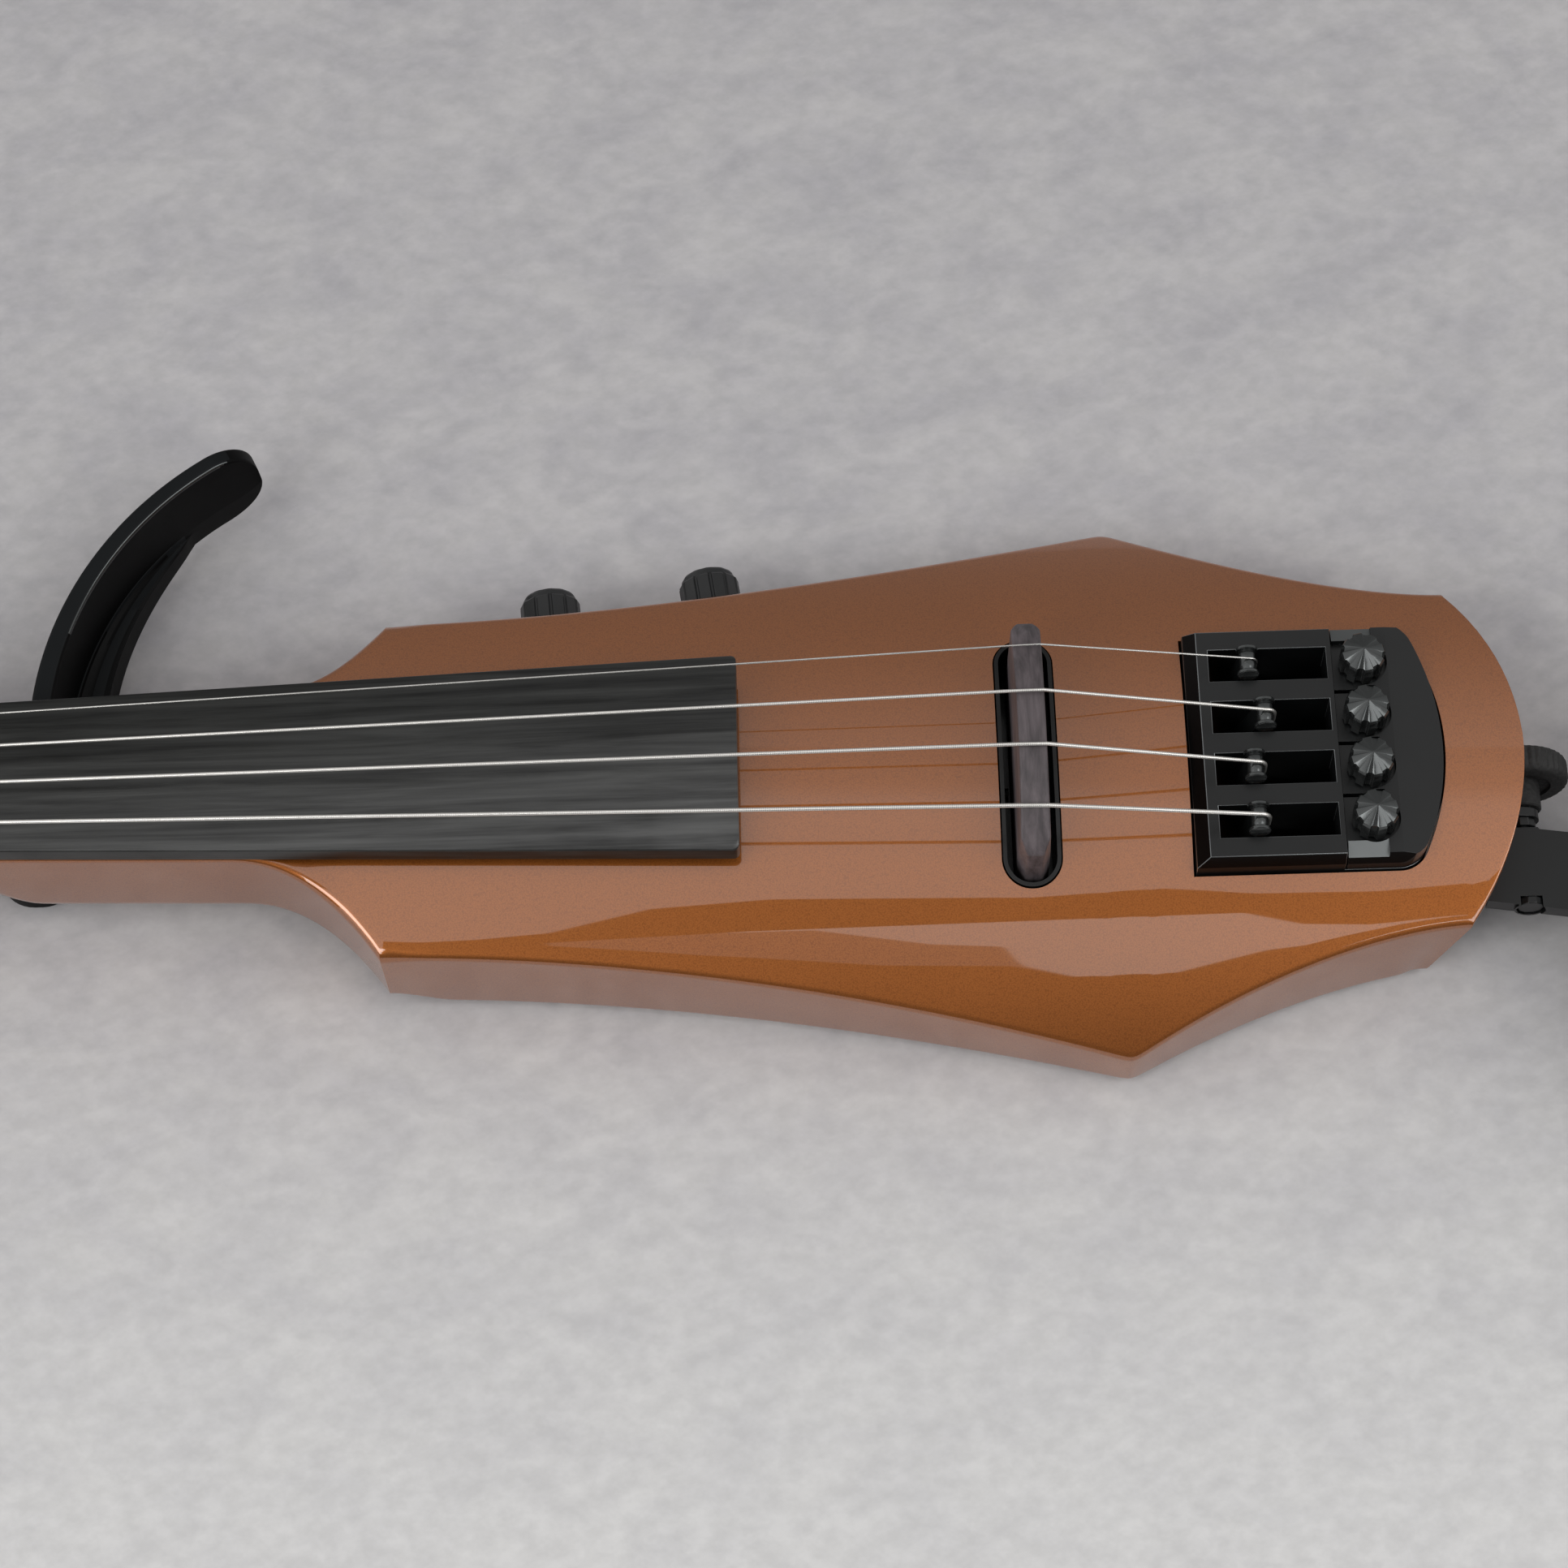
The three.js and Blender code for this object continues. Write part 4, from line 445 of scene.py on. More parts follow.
def fluted(count, flute, radius, depth, axis, centre):
    """A ring of like hollows about an axis; a flute is (share of its turn, share of the depth) pairs."""
    ring = []
    for i in range(count):
        for share, deep in flute:
            turn = (i + share) * 2 * math.pi / count
            reach = radius - deep * depth
            u, v = reach * math.cos(turn), reach * math.sin(turn)
            step = {"Y": (u, 0, v), "Z": (u, v, 0)}[axis]
            ring.append(tuple(c + s for c, s in zip(centre, step)))
    return ring


def combine(piece, others, operation):
    for other in others:
        step = piece.modifiers.new(other.name, "BOOLEAN")
        step.operation = operation
        step.solver = "EXACT"
        step.object = other
    evaluated = piece.evaluated_get(bpy.context.evaluated_depsgraph_get())
    mesh = bpy.data.meshes.new_from_object(evaluated)
    piece.modifiers.clear()
    piece.data = mesh
    for other in others:
        bpy.data.objects.remove(other)
    return piece


def carve(piece, *cutters):
    return combine(piece, cutters, "DIFFERENCE")


def unite(piece, *others):
    return combine(piece, others, "UNION")


def merge(piece, *others):
    """Puts separate closed shells into one object."""
    shape = bmesh.new()
    for part in (piece, *others):
        shape.from_mesh(part.data)
    shape.to_mesh(piece.data)
    shape.free()
    for part in others:
        bpy.data.objects.remove(part)
    return piece


def copy_of(node, name):
    """A clean copy of a node's faces, with flat regions joined, for bevelling."""
    mesh = bpy.data.meshes.new(name)
    shape = bmesh.new()
    shape.from_mesh(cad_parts[node].data)
    bmesh.ops.remove_doubles(shape, verts=shape.verts, dist=2e-6)
    bmesh.ops.dissolve_limit(shape, angle_limit=math.radians(0.6), verts=shape.verts, edges=shape.edges)
    shape.to_mesh(mesh)
    shape.free()
    return new_object(name, mesh)


def smooth(piece, angle):
    piece.data.shade_smooth()
    piece.data.set_sharp_from_angle(angle=math.radians(angle))


def bevel(piece, width, angle=32, segments=2, slot=-1):
    step = piece.modifiers.new("broken_edges", "BEVEL")
    step.material = slot
    step.width = width * MM
    step.segments = segments
    step.limit_method = "ANGLE"
    step.angle_limit = math.radians(angle)
    step.use_clamp_overlap = True
    step.harden_normals = False
    normals = piece.modifiers.new("even_shading", "WEIGHTED_NORMAL")
    normals.keep_sharp = True
    normals.weight = 80


def fit(piece, body, finish, slot, *nodes):
    """Gives a piece its finish and its place on a body."""
    piece.data.materials.clear()
    piece.data.materials.append(finish)
    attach(piece, body)
    if nodes:
        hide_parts(*nodes)
    return piece


def polished(node, body, finish, slot, width=0.15, angle=32):
    """A node's own shape with broken edges."""
    piece = copy_of(node, node + "_dressed")
    smooth(piece, 34)
    if width:
        bevel(piece, width, angle)
    return fit(piece, body, finish, slot, node)


def maths(tree, kind, *terms):
    """A Math node over numbers and the outputs of other nodes."""
    made = tree.nodes.new("ShaderNodeMath")
    made.operation = kind
    for socket, term in zip(made.inputs, terms):
        if isinstance(term, (int, float)):
            socket.default_value = term
        else:
            tree.links.new(term, socket)
    return made.outputs[0]


# Shader groups shared by the materials
def new_group(name, inputs, outputs):
    tree = bpy.data.node_groups.new(name, "ShaderNodeTree")
    for label, kind, value in inputs:
        socket = tree.interface.new_socket(label, in_out="INPUT", socket_type=kind)
        if value is not None:
            socket.default_value = value
    for label, kind in outputs:
        tree.interface.new_socket(label, in_out="OUTPUT", socket_type=kind)
    return tree, tree.nodes.new("NodeGroupInput"), tree.nodes.new("NodeGroupOutput")


def wood_streaks():
    """Long streaks with fine pores, for wood."""
    name = "wood_streaks"
    if name in bpy.data.node_groups:
        return bpy.data.node_groups[name]
    tree, given, made = new_group(
        name,
        [("Vector", "NodeSocketVector", None), ("Scale", "NodeSocketFloat", 60.0),
         ("Contrast", "NodeSocketFloat", 1.0)],
        [("Streaks", "NodeSocketFloat"), ("Pores", "NodeSocketFloat")])
    wide = tree.nodes.new("ShaderNodeTexNoise")
    wide.inputs["Detail"].default_value = 7
    wide.inputs["Roughness"].default_value = 0.62
    wide.inputs["Distortion"].default_value = 0.35
    fine = tree.nodes.new("ShaderNodeTexNoise")
    fine.inputs["Detail"].default_value = 3
    closer = tree.nodes.new("ShaderNodeMath")
    closer.operation = "MULTIPLY"
    closer.inputs[1].default_value = 5.5
    lift = tree.nodes.new("ShaderNodeMath")
    lift.operation = "SUBTRACT"
    lift.inputs[1].default_value = 0.5
    gain = tree.nodes.new("ShaderNodeMath")
    gain.operation = "MULTIPLY_ADD"
    gain.inputs[2].default_value = 0.5
    gain.use_clamp = True
    link = tree.links.new
    link(given.outputs["Vector"], wide.inputs["Vector"])
    link(given.outputs["Scale"], wide.inputs["Scale"])
    link(given.outputs["Scale"], closer.inputs[0])
    link(given.outputs["Vector"], fine.inputs["Vector"])
    link(closer.outputs[0], fine.inputs["Scale"])
    link(wide.outputs["Fac"], lift.inputs[0])
    link(lift.outputs[0], gain.inputs[0])
    link(given.outputs["Contrast"], gain.inputs[1])
    link(gain.outputs[0], made.inputs["Streaks"])
    link(fine.outputs["Fac"], made.inputs["Pores"])
    return tree


def fine_texture():
    """A fine even texture with slow drift, for coatings and moulded pieces."""
    name = "fine_texture"
    if name in bpy.data.node_groups:
        return bpy.data.node_groups[name]
    tree, given, made = new_group(
        name,
        [("Vector", "NodeSocketVector", None), ("Scale", "NodeSocketFloat", 4000.0),
         ("Drift", "NodeSocketFloat", 60.0)],
        [("Grain", "NodeSocketFloat"), ("Drift", "NodeSocketFloat")])
    grain = tree.nodes.new("ShaderNodeTexNoise")
    grain.inputs["Detail"].default_value = 2
    drift = tree.nodes.new("ShaderNodeTexNoise")
    drift.inputs["Detail"].default_value = 4
    drift.inputs["Roughness"].default_value = 0.6
    link = tree.links.new
    link(given.outputs["Vector"], grain.inputs["Vector"])
    link(given.outputs["Scale"], grain.inputs["Scale"])
    link(given.outputs["Vector"], drift.inputs["Vector"])
    link(given.outputs["Drift"], drift.inputs["Scale"])
    link(grain.outputs["Fac"], made.inputs["Grain"])
    link(drift.outputs["Fac"], made.inputs["Drift"])
    return tree


class Material:
    """A material under construction: a Principled surface and helpers that wire maps into it."""

    def __init__(self, name, color, roughness, metallic=0.0, coat=0.0, coat_roughness=0.03, level=0.5):
        self.material = bpy.data.materials.new(name)
        self.material.use_nodes = True
        self.tree = self.material.node_tree
        self.surface = self.tree.nodes["Principled BSDF"]
        values = {"Base Color": (*color, 1), "Roughness": roughness, "Metallic": metallic,
                  "Coat Weight": coat, "Coat Roughness": coat_roughness, "Specular IOR Level": level}
        for label, value in values.items():
            self.surface.inputs[label].default_value = value
        self.place = self.tree.nodes.new("ShaderNodeTexCoord")

    def link(self, a, b):
        self.tree.links.new(a, b)

    def node(self, kind, vector=None, inputs=(), **settings):
        """A node with its settings and input values, fed by a vector where one is given."""
        made = self.tree.nodes.new(kind)
        for label, value in settings.items():
            setattr(made, label, value)
        for label, value in dict(inputs).items():
            made.inputs[label].default_value = value
        if vector is not None:
            self.link(vector, made.inputs["Vector"])
        return made

    def everywhere(self):
        return self.place.outputs["Object"]

    def stretched(self, scale, turn=0.0):
        values = {"Scale": scale, "Rotation": (0, 0, turn)}
        return self.node("ShaderNodeMapping", self.everywhere(), values).outputs["Vector"]

    def noise(self, vector, detail, roughness, distortion=0.0):
        values = {"Scale": 1.0, "Detail": detail, "Roughness": roughness, "Distortion": distortion}
        return self.node("ShaderNodeTexNoise", vector, values).outputs["Fac"]

    def cells(self, scale):
        return self.node("ShaderNodeTexVoronoi", self.everywhere(), {"Scale": scale}).outputs["Distance"]

    def group(self, tree, vector, **values):
        return self.node("ShaderNodeGroup", vector, values, node_tree=tree)

    def maths(self, kind, *terms):
        return maths(self.tree, kind, *terms)

    def blend_color(self, fac, first, second):
        mixer = self.node("ShaderNodeMix", data_type="RGBA")
        mixer.inputs[6].default_value = (*first, 1)
        mixer.inputs[7].default_value = (*second, 1)
        self.link(fac, mixer.inputs[0])
        return mixer.outputs[2]

    def between(self, fac, low, high, from_low=0.0, from_high=1.0):
        values = {"From Min": from_low, "From Max": from_high, "To Min": low, "To Max": high}
        span = self.node("ShaderNodeMapRange", inputs=values)
        self.link(fac, span.inputs["Value"])
        return span.outputs["Result"]

    def bump(self, height, distance, strength=0.3):
        bump = self.node("ShaderNodeBump", inputs={"Strength": strength, "Distance": distance})
        self.link(height, bump.inputs["Height"])
        self.link(bump.outputs["Normal"], self.surface.inputs["Normal"])

    def set(self, label, socket):
        self.link(socket, self.surface.inputs[label])


MATERIALS = {}


def material(name):
    if name not in MATERIALS:
        MATERIALS[name] = MAKERS[name]().material
    return MATERIALS[name]


def toned(color, share):
    return [min(c * share, 1) for c in color]


def copper_lacquer():
    settings = bpy.context.scene.violin_body
    made = Material("copper_lacquer", settings.lacquer, 0.45, metallic=0.7, coat=1.0, coat_roughness=0.02)
    made.surface.inputs["Coat IOR"].default_value = 1.9
    flakes = made.between(made.cells(3600), 1, 0, 0.1, 0.9)
    drift = made.group(fine_texture(), made.everywhere(), Scale=2600.0, Drift=9.0)
    made.set("Base Color", made.blend_color(flakes, settings.lacquer_shade, settings.lacquer))
    made.set("Roughness", made.between(drift.outputs["Drift"], 0.31, 0.4, 0.3, 0.7))
    made.bump(drift.outputs["Grain"], 0.00002, 0.08)
    return made


def board_wood():
    settings = bpy.context.scene.violin_wood
    contrast = 3.4
    made = Material("ebony", settings.board, 0.42, level=1.1)
    along = made.stretched((14, 420, 420))
    streaks = made.group(wood_streaks(), along, Scale=1.0, Contrast=contrast)
    smudges = made.group(fine_texture(), made.everywhere(), Scale=900.0, Drift=75.0)
    made.set("Base Color", made.blend_color(
        streaks.outputs["Streaks"], toned(settings.board, 0.4), toned(settings.board, 1.9)))
    made.set("Roughness", made.maths(
        "ADD", made.between(streaks.outputs["Streaks"], 0.33, 0.46),
        made.between(smudges.outputs["Drift"], -0.05, 0.09, 0.35, 0.65)))
    # The reflection level rises towards the bass side and towards the board's end over the body: a painted
    # sheen. The grain noise that multiplies it is the wood's own.
    place = made.node("ShaderNodeSeparateXYZ", made.everywhere())
    painted_sheen = made.maths("MULTIPLY", made.between(place.outputs["X"], 0.62, 1.0, -0.09, 0.035),
                      made.between(place.outputs["Y"], 0.97, 0.78, 0.008, 0.035))
    half = 0.5 / contrast
    oiled = made.between(made.noise(along, 7, 0.62, 0.35), 0.72, 1.3, 0.5 - half, 0.5 + half)
    made.set("Specular IOR Level", made.maths("MULTIPLY", painted_sheen, oiled))
    made.bump(streaks.outputs["Pores"], 0.00006, 0.25)
    return made


def bridge_wood():
    settings = bpy.context.scene.violin_wood
    made = Material("bridge_wood", settings.bridge, 0.5)
    streaks = made.group(wood_streaks(), made.stretched((620, 70, 300)), Scale=1.0, Contrast=2.4)
    made.set("Base Color", made.blend_color(
        streaks.outputs["Streaks"], toned(settings.bridge, 0.45), toned(settings.bridge, 1.75)))
    made.set("Roughness", made.between(streaks.outputs["Pores"], 0.42, 0.62))
    made.bump(streaks.outputs["Pores"], 0.0001, 0.35)
    return made


def satin(name, color, roughness, metallic, grain, depth=0.00003, strength=0.25, level=0.5):
    made = Material(name, color, roughness, metallic=metallic, level=level)
    texture = made.group(fine_texture(), made.everywhere(), Scale=grain, Drift=50.0)
    drift = texture.outputs["Drift"]
    made.set("Base Color", made.blend_color(drift, toned(color, 0.8), toned(color, 1.25)))
    made.set("Roughness", made.between(drift, roughness - 0.06, roughness + 0.06, 0.3, 0.7))
    made.bump(texture.outputs["Grain"], depth, strength)
    return made


def satin_black():
    return satin("satin_black_metal", bpy.context.scene.violin_fittings.coating, 0.36, 0.0, 3800.0)


# A near-black, barely reflecting copy of the satin black: painted shade on the arm's sides and on the
# slopes round the tuner deck.
def painted_shade_black():
    return satin("moulded_black", (0.0006, 0.0007, 0.0008), 0.5, 0.0, 2600.0, level=0.1)


# A lighter satin copy of the arm's black: painted light on the arm's top faces and on bands of its flange
# fillet.
def painted_light_satin():
    return satin("moulded_satin", (0.006, 0.007, 0.0078), 0.45, 0.0, 2600.0, level=0.12)


def gloss_black():
    return satin("gloss_black_metal", (0.085, 0.09, 0.09), 0.2, 0.85, 1800.0, depth=0.00001, strength=0.1)


# A brighter copy of the gloss black metal: painted highlight on the broken edges of the tuner block and its
# cover.
def painted_edge_highlight():
    return satin("edge_black_metal", (0.2, 0.21, 0.215), 0.24, 0.9, 1800.0, depth=0.00001, strength=0.1)


# A pale copy of the gloss black metal: painted highlight on the wedge faces beside the outer knobs.
def painted_wedge_highlight():
    return satin("wedge_grey_metal", (0.17, 0.18, 0.18), 0.3, 0.85, 1800.0, depth=0.00001, strength=0.1)


def black_plastic():
    return satin("black_plastic", (0.007, 0.0075, 0.008), 0.38, 0.0, 2600.0)


def well_black():
    return satin("well_black", (0.0015, 0.0015, 0.0016), 0.25, 0.0, 1500.0)


def bright_steel():
    return satin("bright_steel", (0.72, 0.72, 0.71), 0.24, 1.0, 1500.0, depth=0.00001, strength=0.15)


def brass():
    return satin("brass", (0.62, 0.45, 0.2), 0.28, 1.0, 1500.0, depth=0.00001, strength=0.15)


def wound_string():
    made = Material("wound_string", (0.86, 0.84, 0.8), 0.3, metallic=0.9)
    winding = made.node("ShaderNodeTexWave", made.everywhere(), {"Scale": 1250, "Distortion": 0.0},
                        wave_type="BANDS", bands_direction="X").outputs["Fac"]
    made.set("Roughness", made.between(winding, 0.24, 0.4))
    made.bump(winding, 0.00003, 0.3)
    return made


def plain_string():
    return satin("plain_string", (0.84, 0.81, 0.77), 0.2, 0.95, 1500.0, depth=0.000005, strength=0.1)


def knurled_rubber():
    made = Material("knurled_rubber", (0.016, 0.016, 0.016), 0.72)
    texture = made.group(fine_texture(), made.everywhere(), Scale=1500.0, Drift=160.0)
    made.set("Base Color", made.blend_color(
        texture.outputs["Drift"], (0.01, 0.01, 0.01), (0.028, 0.027, 0.026)))
    made.bump(made.cells(900), 0.0003, 0.6)
    return made


def foam():
    made = Material("foam", (0.014, 0.014, 0.015), 0.9)
    cells = made.cells(1400)
    made.set("Base Color", made.blend_color(cells, (0.022, 0.022, 0.024), (0.008, 0.008, 0.009)))
    made.bump(cells, 0.0003, 0.5)
    return made


def laminate():
    made = Material("circuit_board", (0.02, 0.11, 0.05), 0.45)
    tracks = made.node("ShaderNodeTexBrick", made.everywhere(), {
        "Scale": 160, "Color1": (0.015, 0.09, 0.04, 1), "Color2": (0.02, 0.13, 0.06, 1),
        "Mortar": (0.05, 0.2, 0.09, 1)})
    made.set("Base Color", tracks.outputs["Color"])
    made.bump(tracks.outputs["Fac"], 0.00005, 0.3)
    return made


def carbon():
    made = Material("carbon_rod", (0.02, 0.021, 0.022), 0.4)
    weave = made.node("ShaderNodeTexWave", made.everywhere(), {"Scale": 400},
                      wave_type="BANDS", bands_direction="DIAGONAL").outputs["Fac"]
    made.set("Base Color", made.blend_color(weave, (0.012, 0.012, 0.013), (0.04, 0.041, 0.043)))
    made.bump(weave, 0.00005, 0.3)
    return made


def floor_finish():
    settings = bpy.context.scene.violin_stage
    made = Material("mottled_floor", settings.floor, 0.8, level=0.2)
    slant = math.radians(-38)
    patches = made.noise(made.stretched((42, 62, 50), slant), 5, 0.7, 0.3)
    mottles = made.noise(made.stretched((180, 250, 200), slant), 3, 0.62)

    def multiplied(first, fac, tone):
        mixer = made.node("ShaderNodeMix", data_type="RGBA", blend_type="MULTIPLY")
        made.link(fac, mixer.inputs[0])
        made.link(first, mixer.inputs[6])
        mixer.inputs[7].default_value = (*tone, 1)
        return mixer.outputs[2]

    # Painted shade: the floor is darkened towards +Y, away from the camera, for the fall of the light. Its
    # own darker patches are made stronger there too.
    place = made.node("ShaderNodeSeparateXYZ", made.everywhere())
    painted_falloff = made.between(place.outputs["Y"], 0, 1, -0.13, 0.04)
    shade = made.maths("MULTIPLY", made.maths("MULTIPLY_ADD", painted_falloff, 0.55, 0.45),
                       made.between(patches, 1, 0, 0.34, 0.62))
    tone = made.blend_color(
        made.between(mottles, 0, 1, 0.34, 0.66), toned(settings.floor, 0.94), toned(settings.floor, 1.06))
    tone = multiplied(tone, shade, (0.85, 0.85, 0.875))
    tone = multiplied(tone, painted_falloff, (0.76, 0.75, 0.765))
    made.set("Base Color", tone)
    made.bump(patches, 0.0006, 0.15)
    return made


MAKERS = {
    "copper_lacquer": copper_lacquer, "ebony": board_wood, "bridge_wood": bridge_wood,
    "satin_black": satin_black, "painted_shade_black": painted_shade_black, "painted_light_satin": painted_light_satin, "gloss_black": gloss_black,
    "painted_edge_highlight": painted_edge_highlight, "painted_wedge_highlight": painted_wedge_highlight,
    "black_plastic": black_plastic, "well_black": well_black, "bright_steel": bright_steel,
    "brass": brass, "wound_string": wound_string, "plain_string": plain_string,
    "knurled_rubber": knurled_rubber, "foam": foam, "laminate": laminate, "carbon": carbon,
    "floor": floor_finish,
}


# Shape of the body
def mix(a, b, share):
    return a + (b - a) * share


def ease(start, end, x):
    share = min(max((x - start) / (end - start), 0), 1)
    return share * share * (3 - 2 * share)


def through(keys, x):
    if x <= keys[0][0]:
        return keys[0][1]
    for (x0, a), (x1, b) in zip(keys, keys[1:]):
        if x <= x1:
            return mix(a, b, ease(x0, x1, x))
    return keys[-1][1]


def top_z(y):
    return TOP_RISE - (TOP_RADIUS - math.sqrt(TOP_RADIUS**2 - y * y))


def glue_z(x):
    return mix(GLUE_NUT_Z, GLUE_END_Z, (x - NUT_X) / (BOARD_END_X - NUT_X))


def neck_half(x):
    return mix(NECK_NUT_HALF, NECK_SCOOP_HALF, (x - NUT_X) / (SCOOP_X - NUT_X))


def side_half(x):
    share = max((x - SHOULDER_X) / (WING_X - SHOULDER_X), 0)
    return SHOULDER_HALF + (WING_HALF - SHOULDER_HALF) * share**SIDE_POWER


def tail_side_half(x):
    share = max((TAIL_CORNER_X - x) / (TAIL_CORNER_X - WING_X), 0)
    return TAIL_CORNER_HALF + (WING_HALF - TAIL_CORNER_HALF) * share**TAIL_POWER


def soft_lower(a, b, softness):
    low, high = min(a, b), max(a, b)
    return low - softness * math.log(1 + math.exp((low - high) / softness))


def half_width(x):
    if x <= NUT_X:
        swell = ease(NUT_X, NUT_X - HEAD_LENGTH / 3, x)
        end = max((NUT_X - x) / HEAD_LENGTH - HEAD_ROUND_START, 0) / (1 - HEAD_ROUND_START)
        return mix(NECK_NUT_HALF, HEAD_HALF, swell) * math.sqrt(1 - 0.75 * end**2.5)
    if x <= SCOOP_X:
        return neck_half(x)
    if x <= SHOULDER_X:
        share = (x - SCOOP_X) / (SHOULDER_X - SCOOP_X)
        return mix(neck_half(x), SHOULDER_HALF, share**SCOOP_POWER)
    if x < WING_X - WING_BLEND:
        return side_half(x)
    if x < WING_X + WING_BLEND:
        return soft_lower(side_half(x), tail_side_half(x), WING_SOFTNESS)
    reach = x - (TAIL_END_X - TAIL_RADIUS)
    return min(tail_side_half(x), math.sqrt(max(TAIL_RADIUS**2 - reach**2, 0)))


BACK_KEYS = [
    (HEAD_END_X, HEAD_BACK_Z + BACK_ROUND), (HEAD_END_X + HEAD_LENGTH / 4, HEAD_BACK_Z),
    (NUT_X - HEAD_LENGTH / 5, HEAD_BACK_Z), (NUT_X + HEAD_LENGTH / 5, SHAFT_BACK_Z),
    (HEEL_X - HEEL_RUN, SHAFT_BACK_Z), (HEEL_X, HEEL_BACK_Z), (SCOOP_X, HEEL_BACK_Z),
    (SHOULDER_X, SHOULDER_BACK_Z), (BACK_FLAT_X, BACK_Z),
]


def body_ring(x, rim_round, top_steps=30, rim_steps=10, corner_steps=7):
    """Section of the body: crowned top, rounded rim, upright side and rounded back edge."""
    half = half_width(x)
    on_body = ease(SCOOP_X, SHOULDER_X, x)
    head = ease(NUT_X - NUT_LENGTH, NUT_X - HEAD_LENGTH, x)
    flat = glue_z(x)
    if x < NUT_X:
        flat = GLUE_NUT_Z - HEAD_DROP * head - NUT_LENGTH * ease(NUT_X, NUT_X - NUT_LENGTH * 2, x) / 4
    back = through(BACK_KEYS, x)
    corner = ease(SCOOP_X, SHOULDER_X - 8, x) * ease(SHOULDER_X + 10, SHOULDER_X, x)
    rim = min(rim_round * (1 + RIM_SHOULDER_GAIN * corner), half / 3)
    crowned = ease(SCOOP_X, SHOULDER_X - 7, x)

    def height(y):
        return mix(flat, top_z(y), crowned)

    heel = ease(HEEL_X - HEEL_RUN, HEEL_X, x)
    edge_round = mix(HEEL_ROUND, BACK_ROUND, on_body)
    deep = height(half) - rim - back
    round_y = min(mix(half * 0.9, edge_round, heel), half * 0.9)
    round_z = min(mix(deep * 0.85, edge_round, heel), deep * 0.9)
    lean = LEAN_SHARE * ease(TAIL_CORNER_X - LEAN_LENGTH, TAIL_CORNER_X, x)
    inner, sharp, lower = (half - rim, height(half - rim)), (half, height(half)), (half, height(half) - rim)
    side = []
    for i in range(1, rim_steps + 1):
        t = i / rim_steps
        weights = ((1 - t) ** 2, 2 * t * (1 - t), t * t)
        side.append(tuple(sum(w * p[k] for w, p in zip(weights, (inner, sharp, lower))) for k in (0, 1)))
    for i in range(corner_steps + 1):
        angle = i / corner_steps * math.pi / 2
        side.append((half - round_y * (1 - math.cos(angle)), back + round_z * (1 - math.sin(angle))))
    top = [mix(half - rim, rim - half, i / top_steps) for i in range(top_steps + 1)]
    outline = [(y, height(y)) for y in top] + [(-y, z) for y, z in side] + [(0, back), *reversed(side)]
    return [(x - lean * (height(y) - z), y, z) for y, z in outline]


def spread(start, end, count):
    return [mix(start, end, i / count) for i in range(count)]


# Start of each stretch along the body and the number of its sections, up to the tail corner
STRETCHES = (
    (HEAD_END_X, 8), (HEAD_END_X + HEAD_LENGTH / 5, 12), (NUT_X, 8), (HEEL_X - HEEL_RUN, 14),
    (HEEL_X, 6), (SCOOP_X, 26), (SHOULDER_X, 8), (BACK_FLAT_X, 34), (WING_X - 4, 14),
    (WING_X + 4, 18), (TAIL_CORNER_X - LEAN_LENGTH, 12), (TAIL_CORNER_X, 0),
)


def body_stations():
    stations = []
    for (start, count), (end, _) in zip(STRETCHES, STRETCHES[1:]):
        stations += spread(start, end, count)
    for i in range(17):
        share = mix(1, TAIL_LAST_SHARE, math.sin(i / 16 * math.pi / 2))
        stations.append(tail_x(TAIL_CORNER_HALF * share))
    return stations


def block_outline(margin, steps=40):
    half = BLOCK_HALF + margin
    rear = BLOCK_REAR_X + margin
    centre = rear - BLOCK_REAR_RADIUS
    corner_y = half - BLOCK_CORNER
    corner_x = centre + math.sqrt((BLOCK_REAR_RADIUS - BLOCK_CORNER) ** 2 - corner_y**2)
    turn = math.atan2(corner_y, corner_x - centre)
    upper = [(corner_x + BLOCK_CORNER * math.cos(mix(math.pi / 2, turn, i / 12)),
              corner_y + BLOCK_CORNER * math.sin(mix(math.pi / 2, turn, i / 12))) for i in range(13)]
    arc = [(centre + BLOCK_REAR_RADIUS * math.cos(mix(turn, -turn, i / steps)),
            BLOCK_REAR_RADIUS * math.sin(mix(turn, -turn, i / steps))) for i in range(1, steps)]
    front = BLOCK_FRONT_X - margin
    return [(front, -half), (front, half), *upper, *arc, *[(x, -y) for x, y in reversed(upper)]]


def well_outline(margin, steps=14):
    half_x = WELL_WIDTH / 2 + margin
    half_y = WELL_LENGTH / 2 + margin
    return rounded(WELL_X - half_x, -half_y, WELL_X + half_x, half_y, half_x * 0.98, steps)


def cavity_outline(margin):
    front, rear, bass = CAVITY_FRONT_X - margin, CAVITY_REAR_X + margin, CAVITY_BASS_Y - margin
    return [(front, bass), (rear, bass), (rear, CAVITY_REAR_Y + margin), (front, CAVITY_FRONT_Y + margin)]


